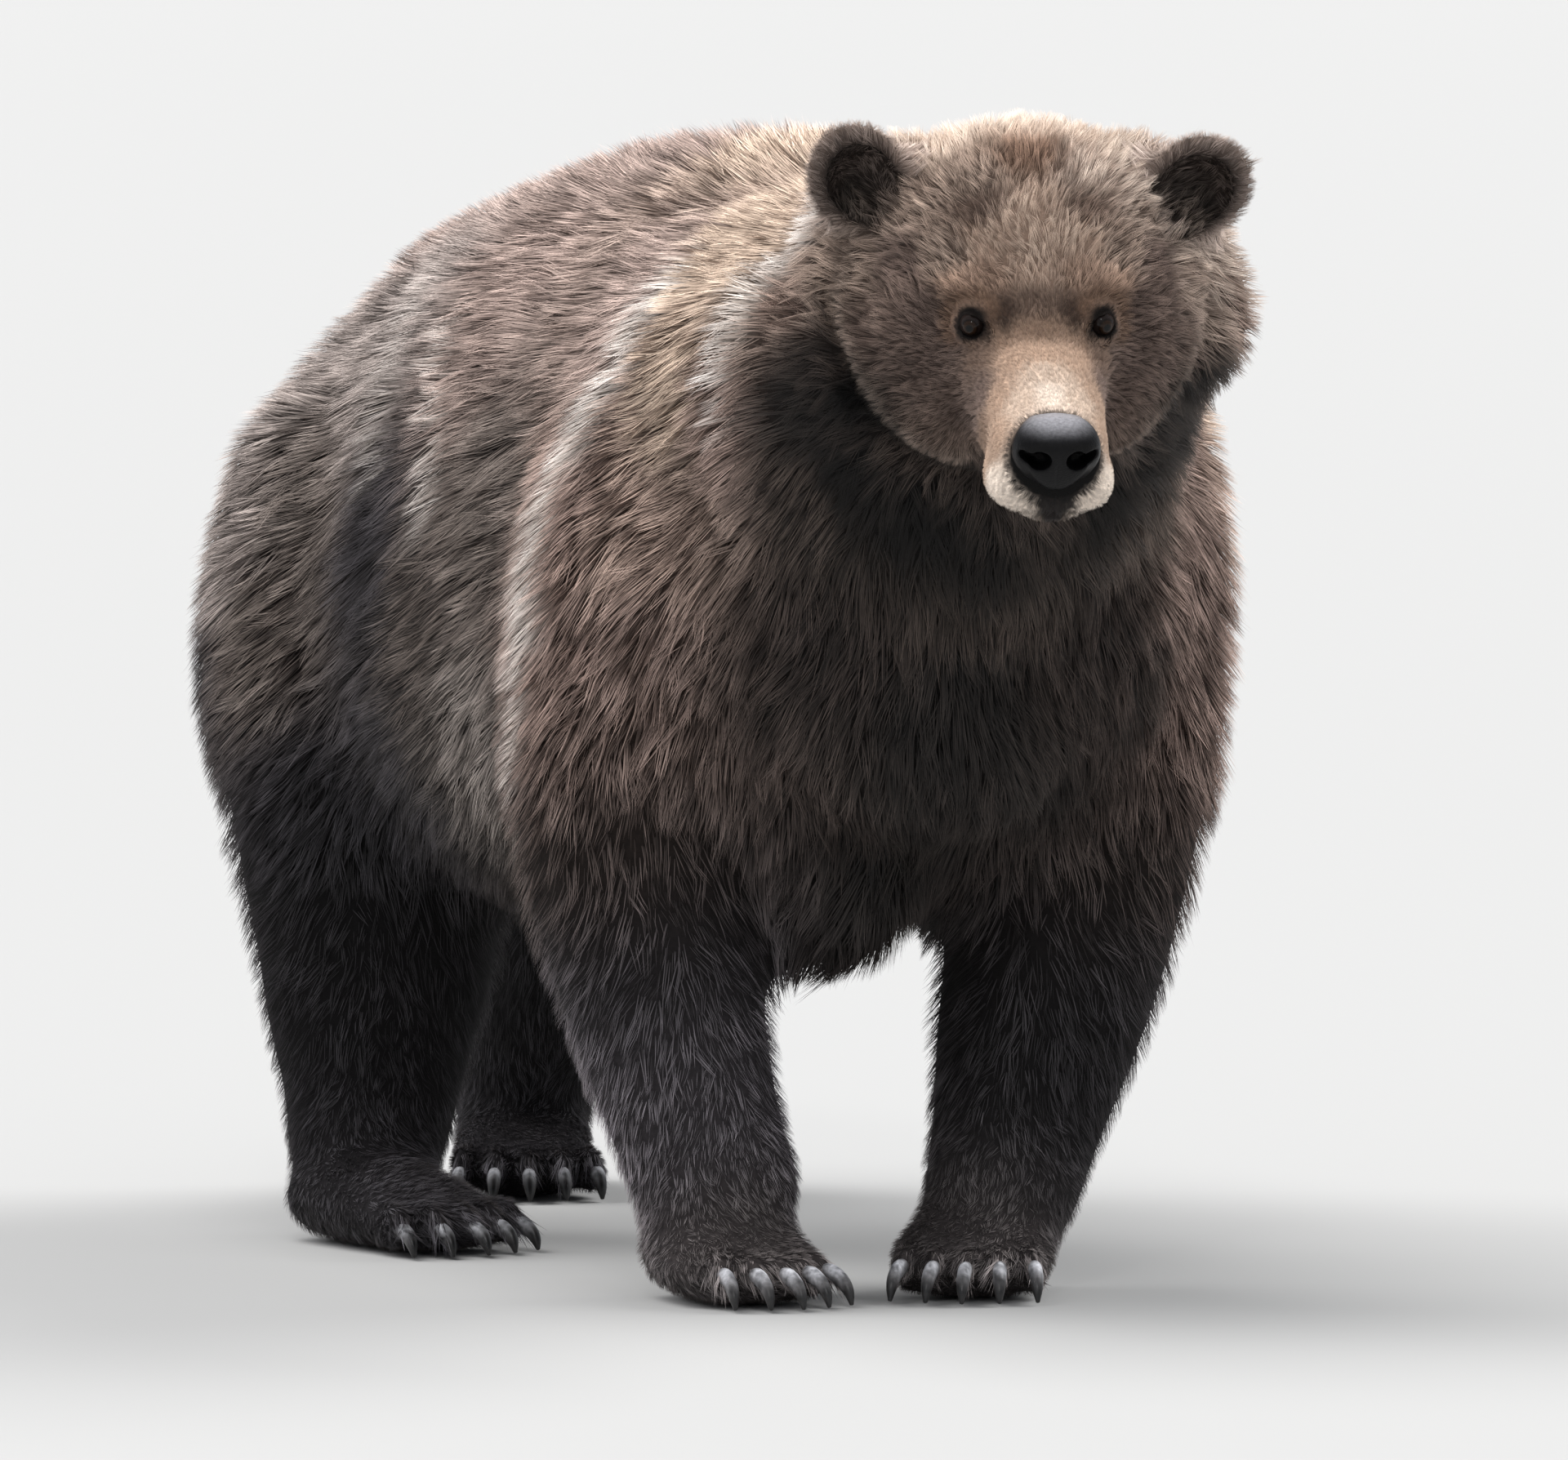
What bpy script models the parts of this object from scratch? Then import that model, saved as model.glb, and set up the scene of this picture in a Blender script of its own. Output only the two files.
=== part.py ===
"""A standing grizzly bear: flesh and coat parted into its regions, eyes, nose and claws."""
import bpy, bmesh, math
import numpy as np
from mathutils import Vector, Matrix

# ------------------------------------------------------------------ shape helpers
def spline(rows, steps):
    """Rows of numbers joined by a Catmull-Rom curve, with steps rows for each pair."""
    a = np.array(rows, float)
    p = np.vstack([2 * a[0] - a[1], a, 2 * a[-1] - a[-2]])
    out = []
    for i in range(1, len(p) - 2):
        for k in range(steps):
            t = k / steps
            out.append(0.5 * (2 * p[i] + (p[i + 1] - p[i - 1]) * t
                       + (2 * p[i - 1] - 5 * p[i] + 4 * p[i + 1] - p[i + 2]) * t ** 2
                       + (3 * p[i] - p[i - 1] - 3 * p[i + 1] + p[i + 2]) * t ** 3))
    out.append(a[-1])
    return np.array(out)


def loft(bm, rows, up, caps=(0.05, 0.05), ring=28, steps=4, level=False, place=None,
         dome=(0.3, 0.62, 0.95, 1.25)):
    """A closed tube through stations (x, y, z, half width, rise, drop, top power, bottom power).
    Each ring is a superellipse about its station, square to the path or to a fixed direction."""
    r = spline([list(x) + [2.0] * (8 - len(x)) for x in rows], steps)
    c = r[:, :3]
    along = np.gradient(c, axis=0)
    if level:
        along[:, 2] = 0
    along /= np.linalg.norm(along, axis=1)[:, None]
    side = np.cross(along, np.array(up, float))
    side /= np.linalg.norm(side, axis=1)[:, None]
    rise = np.cross(side, along)
    rings = [(c[0] - along[0] * caps[0] * math.sin(q), math.cos(q), 0)
             for q in dome[::-1]]
    rings += [(c[i], 1.0, i) for i in range(len(c))]
    rings += [(c[-1] + along[-1] * caps[1] * math.sin(q), math.cos(q), len(c) - 1)
              for q in dome]
    turn = np.linspace(0, 2 * math.pi, ring, endpoint=False)
    made = []
    for centre, k, i in rings:
        w, t, b, pt, pb = r[i, 3:8]
        verts = []
        for q in turn:
            cq, sq = math.cos(q), math.sin(q)
            p = pt if sq > 0 else pb
            u = math.copysign(abs(cq) ** (2 / p), cq) * w * k
            v = math.copysign(abs(sq) ** (2 / p), sq) * (t if sq > 0 else b) * k
            at = Vector(centre + side[i] * u + rise[i] * v)
            verts.append(bm.verts.new(place @ at if place else at))
        made.append(verts)
    for a, b in zip(made, made[1:]):
        for k in range(ring):
            bm.faces.new((a[k], b[k], b[(k + 1) % ring], a[(k + 1) % ring]))
    for verts, i, s in ((made[0], 0, -1), (made[-1], -1, 1)):
        at = Vector(c[i] + s * along[i] * caps[i])
        pole = bm.verts.new(place @ at if place else at)
        for k in range(ring):
            a, b = verts[k], verts[(k + 1) % ring]
            bm.faces.new((a, pole, b) if s > 0 else (b, pole, a))


def ball(bm, centre, radii, turn=(0, 0, 0), place=None, rings=14):
    """An ellipsoid; turn is in degrees about X, Y and Z."""
    m = Matrix.Translation(centre)
    for axis, q in zip("XYZ", turn):
        m = m @ Matrix.Rotation(math.radians(q), 4, axis)
    m = m @ Matrix.Diagonal((*radii, 1))
    if place:
        m = place @ m
    bmesh.ops.create_uvsphere(bm, u_segments=rings * 2, v_segments=rings, radius=1, matrix=m)


def to_object(bm, name):
    bmesh.ops.recalc_face_normals(bm, faces=bm.faces)
    mesh = bpy.data.meshes.new(name)
    bm.to_mesh(mesh)
    bm.free()
    obj = bpy.data.objects.new(name, mesh)
    bpy.context.scene.collection.objects.link(obj)
    return obj


def joined(objs, name):
    """Several mesh objects as one, their shells still apart."""
    with bpy.context.temp_override(active_object=objs[0], selected_editable_objects=objs):
        bpy.ops.object.join()
    objs[0].name = name
    return objs[0]


def settle(obj):
    """Applies an object's modifiers."""
    bpy.context.view_layer.update()
    graph = bpy.context.evaluated_depsgraph_get()
    mesh = bpy.data.meshes.new_from_object(obj.evaluated_get(graph), depsgraph=graph)
    old = obj.data
    obj.modifiers.clear()
    obj.data = mesh
    bpy.data.meshes.remove(old)
    return obj


def blended(obj, voxel, rounds, factor=0.5):
    """Joins an object's overlapping shells into one skin and rounds the joins."""
    m = obj.modifiers.new("join", "REMESH")
    m.mode = "VOXEL"
    m.voxel_size = voxel
    m.adaptivity = 0
    if rounds:
        s = obj.modifiers.new("round", "SMOOTH")
        s.factor = factor
        s.iterations = rounds
    return settle(obj)

def smoothed(obj, rounds, factor=0.5):
    s = obj.modifiers.new("round", "SMOOTH")
    s.factor = factor
    s.iterations = rounds
    return settle(obj)

# ------------------------------------------------------------------ named sizes (metres)
#   x, y of the spine; z_wide, half_w, z_top, z_low, p_top, p_low
TRUNK = [
    (0.000, -0.32, 0.80, 0.20, 1.00, 0.60, 2.0, 2.0),
    (0.030, -0.23, 0.76, 0.285, 1.09, 0.50, 2.0, 2.0),
    (0.062, -0.09, 0.72, 0.335, 1.165, 0.40, 1.95, 2.1),
    (0.082, 0.08, 0.69, 0.35, 1.195, 0.36, 1.9, 2.2),
    (0.092, 0.27, 0.66, 0.36, 1.194, 0.335, 1.95, 2.2),
    (0.104, 0.47, 0.64, 0.366, 1.181, 0.320, 2.05, 2.3),
    (0.108, 0.66, 0.635, 0.357, 1.151, 0.325, 2.05, 2.3),
    (0.108, 0.84, 0.64, 0.330, 1.113, 0.355, 2.05, 2.2),
    (0.106, 1.00, 0.67, 0.292, 1.084, 0.40, 1.95, 2.1),
    (0.102, 1.12, 0.69, 0.242, 1.036, 0.45, 1.88, 2.0),
    (0.100, 1.20, 0.70, 0.19, 0.965, 0.52, 1.9, 2.0),
]
NECK = [  # x, y, z, half width, rise, drop
    (0.075, 0.04, 0.90, 0.31, 0.25, 0.26),
    (0.060, -0.13, 0.93, 0.30, 0.245, 0.30),
    (0.040, -0.28, 0.96, 0.28, 0.23, 0.31),
    (0.022, -0.40, 1.00, 0.255, 0.205, 0.26),
    (0.005, -0.48, 1.03, 0.215, 0.17, 0.20),
]
#   x, y, z, half width, reach forward, reach back
FRONT_LEFT = [
    (0.318, -0.09, 0.80, 0.125, 0.17, 0.17),
    (0.330, -0.06, 0.62, 0.13, 0.155, 0.16),
    (0.308, -0.035, 0.47, 0.136, 0.145, 0.15),
    (0.270, -0.03, 0.33, 0.132, 0.13, 0.135),
    (0.247, -0.035, 0.24, 0.118, 0.108, 0.113),
    (0.228, -0.04, 0.165, 0.099, 0.093, 0.092),
    (0.202, -0.055, 0.095, 0.089, 0.09, 0.082),
]
FRONT_RIGHT = [
    (-0.165, 0.02, 0.80, 0.125, 0.17, 0.17),
    (-0.182, 0.03, 0.62, 0.13, 0.155, 0.16),
    (-0.169, 0.035, 0.47, 0.133, 0.145, 0.15),
    (-0.139, 0.02, 0.33, 0.124, 0.125, 0.13),
    (-0.124, 0.01, 0.24, 0.110, 0.103, 0.108),
    (-0.108, 0.00, 0.165, 0.098, 0.092, 0.09),
    (-0.090, -0.02, 0.095, 0.093, 0.09, 0.082),
]
HIND_RIGHT = [
    (-0.105, 0.96, 0.80, 0.13, 0.20, 0.20),
    (-0.150, 0.92, 0.62, 0.135, 0.20, 0.22),
    (-0.148, 0.84, 0.47, 0.152, 0.18, 0.18),
    (-0.136, 0.81, 0.34, 0.154, 0.14, 0.14),
    (-0.148, 0.79, 0.24, 0.132, 0.11, 0.12),
    (-0.158, 0.77, 0.155, 0.106, 0.09, 0.105),
    (-0.177, 0.745, 0.09, 0.091, 0.085, 0.09),
]
HIND_LEFT = [
    (0.275, 0.98, 0.80, 0.13, 0.20, 0.20),
    (0.290, 1.02, 0.62, 0.13, 0.20, 0.20),
    (0.268, 1.06, 0.47, 0.122, 0.165, 0.17),
    (0.238, 1.13, 0.34, 0.114, 0.125, 0.135),
    (0.226, 1.18, 0.24, 0.104, 0.105, 0.11),
    (0.219, 1.235, 0.155, 0.092, 0.09, 0.095),
    (0.218, 1.275, 0.09, 0.084, 0.085, 0.085),
]
# heel x, y; direction the toes point, degrees from -Y towards +X; length; half width;
# toe spacing; middle toe's offset; claw length
PAWS = {
    "front_right": ((-0.105, 0.035), 3.0, 0.18, 0.097, 0.0265, 0.009, 0.066),
    "front_left": ((0.205, -0.010), -29.0, 0.17, 0.095, 0.0315, 0.001, 0.066),
    "hind_right": ((-0.215, 0.775), 12.0, 0.26, 0.090, 0.034, 0.000, 0.046),
    "hind_left": ((0.236, 1.325), -20.0, 0.26, 0.086, 0.034, 0.000, 0.046),
}
SHOULDERS = {"left": (0.292, -0.10, 0.79), "right": (-0.142, 0.03, 0.79)}
EYES_AT = (-0.018, -0.655, 1.030)
HEAD_YAW, HEAD_PITCH = 17.0, 21.0


def head_place():
    """The head's own frame: x to the animal's left, y to the back, z up, from between the eyes."""
    return (Matrix.Translation(EYES_AT) @ Matrix.Rotation(math.radians(-HEAD_YAW), 4, "Z")
            @ Matrix.Rotation(math.radians(HEAD_PITCH), 4, "X"))


def core():
    """Trunk, neck, limbs and the head's mass, joined and rounded."""
    bm = bmesh.new()
    loft(bm, [(x, y, zw, w, zt - zw, zw - zb, pt, pb) for x, y, zw, w, zt, zb, pt, pb in TRUNK],
         up=(0, 0, 1), level=True, caps=(0.10, 0.09), ring=36)
    loft(bm, NECK, up=(0, 0, 1), caps=(0.1, 0.08), ring=32)
    ball(bm, (0.045, -0.19, 0.74), (0.23, 0.19, 0.28), (-12, 0, 0))
    ball(bm, (0.030, -0.03, 0.455), (0.092, 0.16, 0.145))
    ball(bm, SHOULDERS["left"], (0.145, 0.20, 0.27), (18, -8, -16))
    ball(bm, SHOULDERS["right"], (0.145, 0.20, 0.27), (18, 8, -16))
    for s in (-1, 1):
        ball(bm, (0.104 + 0.178 * s, 0.965, 0.66), (0.15, 0.27, 0.32), (-8, -6 * s, 0))
    for leg in (FRONT_LEFT, FRONT_RIGHT, HIND_RIGHT, HIND_LEFT):
        loft(bm, leg, up=(0, -1, 0), caps=(0.1, 0.05))
    for (x, y), q, length, w, *_ in PAWS.values():
        d = Vector((math.sin(math.radians(q)), -math.cos(math.radians(q)), 0))
        at = lambda u, z: (x + d.x * u, y + d.y * u, z)
        loft(bm, [(*at(0.02, 0.045), w * 0.80, 0.05, 0.05),
                  (*at(length * 0.35, 0.045), w * 0.92, 0.06, 0.052),
                  (*at(length * 0.70, 0.040), w, 0.045, 0.048),
                  (*at(length * 0.92, 0.034), w * 0.96, 0.030, 0.042)],
             up=(0, 0, 1), caps=(0.03, 0.03), steps=3)
    h = head_place()
    ball(bm, (0, 0.165, 0.005), (0.178, 0.165, 0.145), place=h)
    for s in (-1, 1):
        ball(bm, (0.100 * s, 0.125, -0.050), (0.085, 0.12, 0.115), (0, -14 * s, 0), place=h)
        ball(bm, (0.072 * s, 0.075, -0.090), (0.072, 0.10, 0.088), (0, -8 * s, 0), place=h)
        ball(bm, (0.140 * s, 0.225, -0.045), (0.105, 0.12, 0.165), (0, -10 * s, 0), place=h)
    ball(bm, (0.172, 0.215, -0.085), (0.098, 0.11, 0.105), place=h)
    ball(bm, (0.095, 1.285, 0.79), (0.032, 0.045, 0.065), (25, 0, 0))
    return blended(to_object(bm, "core"), 0.012, 22)


HEAD = [  # y, z, half width, rise, drop: from the nape to the lips
    (0.160, 0.000, 0.150, 0.135, 0.150),
    (0.110, -0.008, 0.142, 0.122, 0.150),
    (0.060, -0.020, 0.124, 0.098, 0.145),
    (0.020, -0.035, 0.098, 0.074, 0.130),
    (-0.020, -0.050, 0.077, 0.064, 0.112),
    (-0.065, -0.062, 0.066, 0.062, 0.096),
    (-0.115, -0.070, 0.061, 0.060, 0.084),
    (-0.160, -0.075, 0.059, 0.058, 0.072),
    (-0.192, -0.078, 0.052, 0.052, 0.058),
]
EAR_AT = {"left": (0.176, 0.155, 0.080), "right": (-0.170, 0.155, 0.092)}
EAR_LEAN = {"left": 38, "right": -30}
EAR = (0.060, 0.030, 0.070)
EYE_AT = (0.0648, -0.0045, 0.000)
EYE_R = 0.0125


def ear_place(side):
    s = 1 if side == "left" else -1
    return (head_place() @ Matrix.Translation(EAR_AT[side]) @ Matrix.Rotation(math.radians(-16 * s), 4, "Z")
            @ Matrix.Rotation(math.radians(EAR_LEAN[side]), 4, "Y"))


def head_details(bm):
    h = head_place()
    loft(bm, [(0, y, z, w, r, d, 2.2, 2.3) for y, z, w, r, d in HEAD], up=(0, 0, 1), caps=(0.05, 0.025), place=h)
    for s, side in ((-1, "right"), (1, "left")):
        ball(bm, (0.034 * s, -0.148, -0.101), (0.033, 0.060, 0.034), place=h)
        ball(bm, (0.062 * s, 0.040, 0.030), (0.046, 0.040, 0.024), (0, 14 * s, 0), place=h)
        ball(bm, (0, 0, 0), EAR, place=ear_place(side))
        ball(bm, (0, 0.022, -0.050), (0.046, 0.040, 0.046), place=ear_place(side))


def carve(obj, cutters):
    """The cutters' volume taken away, and the cutters with it."""
    cut = joined(cutters, "cutter")
    m = obj.modifiers.new("cut", "BOOLEAN")
    m.operation, m.solver, m.object = "DIFFERENCE", "EXACT", cut
    obj = settle(obj)
    bpy.data.objects.remove(cut)
    return obj


def hollows(rings=14):
    """The cup of each ear and the socket of each eye."""
    out = []
    h = head_place()
    for s, side in ((-1, "right"), (1, "left")):
        bm = bmesh.new()
        ball(bm, (0, -0.036, 0.002), (0.036, 0.032, 0.043), place=ear_place(side), rings=rings)
        out.append(to_object(bm, "cup"))
        bm = bmesh.new()
        ball(bm, ((EYE_AT[0] + 0.006) * s, EYE_AT[1] - 0.018, EYE_AT[2]), (0.022, 0.016, 0.014), (0, 0, 18 * s), place=h, rings=rings)
        out.append(to_object(bm, "socket"))
    return out


def toe_places():
    """Each toe's name, centre and the way it points, degrees from -Y towards +X."""
    for name, ((x, y), q, length, w, gap, off, claw) in PAWS.items():
        d = Vector((math.sin(math.radians(q)), -math.cos(math.radians(q)), 0))
        n = Vector((-d.y, d.x, 0))
        for k in range(-2, 3):
            u = length * 0.98 - 0.008 * abs(k) ** 1.5
            yield name, k, Vector((x, y, 0.030)) + d * u + n * (k * gap + off), q + 5 * k, claw


def toes(bm):
    for name, k, p, q, claw in toe_places():
        ball(bm, p + Vector((0, 0, 0.001)), (0.0185, 0.046, 0.0305), (-6, 0, q), rings=8)


def claws(grow=0.0):
    """Twenty curved claws, each rising out of its toe and coming down near the floor."""
    out = {}
    for name, k, p, q, size in toe_places():
        m = Matrix.Translation(p) @ Matrix.Rotation(math.radians(q), 4, "Z")
        t = size / 0.068
        bm = bmesh.new()
        path = [(0.006, 0.000), (0.036, 0.005), (0.058, -0.002), (0.070, -0.013), (0.0755, -0.0255)]
        wide = [0.0080, 0.0086, 0.0082, 0.0064, 0.0026]
        deep = [0.0085, 0.0092, 0.0082, 0.0060, 0.0024]
        shift = 0.022 * (1 - t)
        rows = [(0, -(shift + u * t + 0.004 * (1 - t)), -0.026 + (v + 0.026) * (0.35 + 0.65 * t), a + grow, b + grow, b + grow)
                for (u, v), a, b in zip(path, wide, deep)]
        loft(bm, rows, up=(0, 0, 1), caps=(0.003 + grow, 0.0012), ring=CLAW_RING, steps=CLAW_STEPS, place=m,
             dome=CLAW_DOME)
        out["claw_%s_%d" % (name, k + 3)] = to_object(bm, "claw_%s_%d" % (name, k + 3))
    return out


CLAW_RING, CLAW_STEPS, CLAW_DOME = 6, 1, ()


NOSE = [  # y, z, half width, rise, drop
    (-0.176, -0.050, 0.036, 0.034, 0.036),
    (-0.196, -0.052, 0.044, 0.039, 0.043),
    (-0.212, -0.054, 0.042, 0.035, 0.043),
    (-0.222, -0.057, 0.031, 0.023, 0.033),
]
NOSTRIL = (0.019, -0.228, -0.048)


def nose_pad(name, ring, steps, grow=0.0, nostrils=5, dome=(0.4, 0.9)):
    """The nose: a broad pad, wider above, with two open nostrils."""
    h = head_place()
    bm = bmesh.new()
    loft(bm, [(0, y, z, w + grow, r + grow, d + grow, 2.4, 1.9) for y, z, w, r, d in NOSE],
         up=(0, 0, 1), caps=(0.008 + grow, 0.006 + grow), ring=ring, steps=steps, place=h,
         dome=dome)
    pad = to_object(bm, name)
    if grow or not nostrils:
        return pad
    cutters = []
    for s in (-1, 1):
        bm = bmesh.new()
        ball(bm, (NOSTRIL[0] * s, NOSTRIL[1], NOSTRIL[2]), (0.0105, 0.012, 0.0090), (0, 24 * s, 0), place=h, rings=nostrils)
        cutters.append(to_object(bm, "nostril"))
    return carve(pad, cutters)



# ------------------------------------------------------------------ parting the body
GAP = 0.0004            # width of every parting cut
NECK_CUT = -0.425       # where the head's ruff meets the neck
KNEE, WRIST = 0.300, 0.104   # heights of the two cuts across every leg
FLESH_TRIS = 2475


def hull(corners, name):
    """The convex solid through a set of corners."""
    bm = bmesh.new()
    for c in corners:
        bm.verts.new(c)
    bmesh.ops.convex_hull(bm, input=bm.verts)
    return to_object(bm, name)


def block(lo, hi, place=None, grow=0.0, name="block"):
    """A box between two corners, grown on every side."""
    lo = [v - grow for v in lo]
    hi = [v + grow for v in hi]
    pts = [Vector((x, y, z)) for x in (lo[0], hi[0]) for y in (lo[1], hi[1]) for z in (lo[2], hi[2])]
    return hull([place @ p if place else p for p in pts], name)


def wedge(inner_low, inner_high, outer, y0, y1, z0, z1, lean, grow):
    """A leg's region of the body: its inner wall leans from inner_low at z0 to inner_high at z1,
    and its ends lean back by lean at the top."""
    s = 1 if outer > inner_low else -1
    g = grow
    k = (inner_high - inner_low) / (z1 - z0)
    pts = []
    for z in (z0 - g, z1 + g):
        inner = inner_low + k * (z - z0) - s * g
        back = lean * (z - z0) / (z1 - z0)
        for x in (inner, outer + s * g):
            for y in (y0 + back - g, y1 + back + g):
                pts.append((x, y, z))
    return hull(pts, "wedge")


def boolean(obj, cutter, how):
    m = obj.modifiers.new("cut", "BOOLEAN")
    m.operation, m.solver, m.object = how, "EXACT", cutter
    return settle(obj)


def copy_of(obj, name):
    out = bpy.data.objects.new(name, obj.data.copy())
    bpy.context.scene.collection.objects.link(out)
    return out


def tidy(obj):
    """Welds what a cut left doubled, drops slivers and keeps the one largest shell."""
    bm = bmesh.new()
    bm.from_mesh(obj.data)
    bmesh.ops.remove_doubles(bm, verts=bm.verts, dist=0.00005)
    bmesh.ops.dissolve_degenerate(bm, dist=0.00002, edges=bm.edges)
    bmesh.ops.triangulate(bm, faces=bm.faces)
    seen, best = set(), []
    for v in bm.verts:
        if v in seen:
            continue
        shell, stack = [], [v]
        seen.add(v)
        while stack:
            a = stack.pop()
            shell.append(a)
            for e in a.link_edges:
                b = e.other_vert(a)
                if b not in seen:
                    seen.add(b)
                    stack.append(b)
        if len(shell) > len(best):
            best = shell
    keep = set(best)
    bmesh.ops.delete(bm, geom=[v for v in bm.verts if v not in keep], context="VERTS")
    bmesh.ops.recalc_face_normals(bm, faces=bm.faces)
    bm.to_mesh(obj.data)
    bm.free()
    return obj


def part_off(body, name, region):
    """Takes the region(0) out of the body as its own solid; the body keeps all but region(GAP)."""
    piece = copy_of(body, name)
    a = region(0.0)
    tidy(boolean(piece, a, "INTERSECT"))
    bpy.data.objects.remove(a)
    b = region(GAP)
    boolean(body, b, "DIFFERENCE")
    bpy.data.objects.remove(b)
    return piece


def thinned(obj, target):
    """Fewer, larger facets, finer on the head and the paws."""
    bm = bmesh.new()
    bm.from_mesh(obj.data)
    bmesh.ops.triangulate(bm, faces=bm.faces)
    bm.to_mesh(obj.data)
    bm.free()
    g = obj.vertex_groups.new(name="coarse")
    co = np.empty(len(obj.data.vertices) * 3)
    obj.data.vertices.foreach_get("co", co)
    co = co.reshape(-1, 3)
    head = (co[:, 1] < -0.46) & (co[:, 2] > 0.72)
    paws = co[:, 2] < 0.11
    g.add([int(i) for i in np.nonzero(~(head | paws))[0]], 1.0, "REPLACE")
    g.add([int(i) for i in np.nonzero(head)[0]], HEAD_WEIGHT, "REPLACE")
    g.add([int(i) for i in np.nonzero(paws)[0]], PAW_WEIGHT, "REPLACE")
    m = obj.modifiers.new("thin", "DECIMATE")
    m.ratio = target / len(obj.data.polygons)
    m.vertex_group = "coarse"
    m.vertex_group_factor = 1.0
    settle(obj)
    obj.vertex_groups.clear()
    print("flesh", len(obj.data.polygons))
    return obj


HEAD_WEIGHT, PAW_WEIGHT = 0.955, 0.96


COLOURS = {  # name ending: colour, roughness
    "eye": ((0.020, 0.011, 0.007), 0.08),
    "nose": ((0.030, 0.028, 0.030), 0.38),
    "claw": ((0.300, 0.275, 0.240), 0.42),
    "ear": ((0.045, 0.030, 0.022), 0.95),
    "muzzle": ((0.270, 0.165, 0.100), 0.85),
    "lower_jaw": ((0.200, 0.140, 0.095), 0.85),
    "head": ((0.130, 0.080, 0.050), 0.92),
    "neck": ((0.095, 0.055, 0.036), 0.92),
    "leg": ((0.030, 0.020, 0.015), 0.92),
    "paw": ((0.022, 0.016, 0.013), 0.92),
    "trunk": ((0.080, 0.047, 0.031), 0.92),
    "rump": ((0.060, 0.036, 0.025), 0.92),
    "tail": ((0.045, 0.028, 0.020), 0.92),
}


def finish(obj):
    """The part's own material, by the kind of part its name says."""
    kind = next(k for k in COLOURS if k in obj.name)
    colour, roughness = COLOURS[kind]
    m = bpy.data.materials.new(obj.name)
    m.use_nodes = True
    shader = m.node_tree.nodes["Principled BSDF"]
    shader.inputs["Base Color"].default_value = (*colour, 1)
    shader.inputs["Roughness"].default_value = roughness
    shader.inputs["Metallic"].default_value = 0.0
    m.diffuse_color = (*colour, 1)
    obj.data.materials.clear()
    obj.data.materials.append(m)


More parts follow.
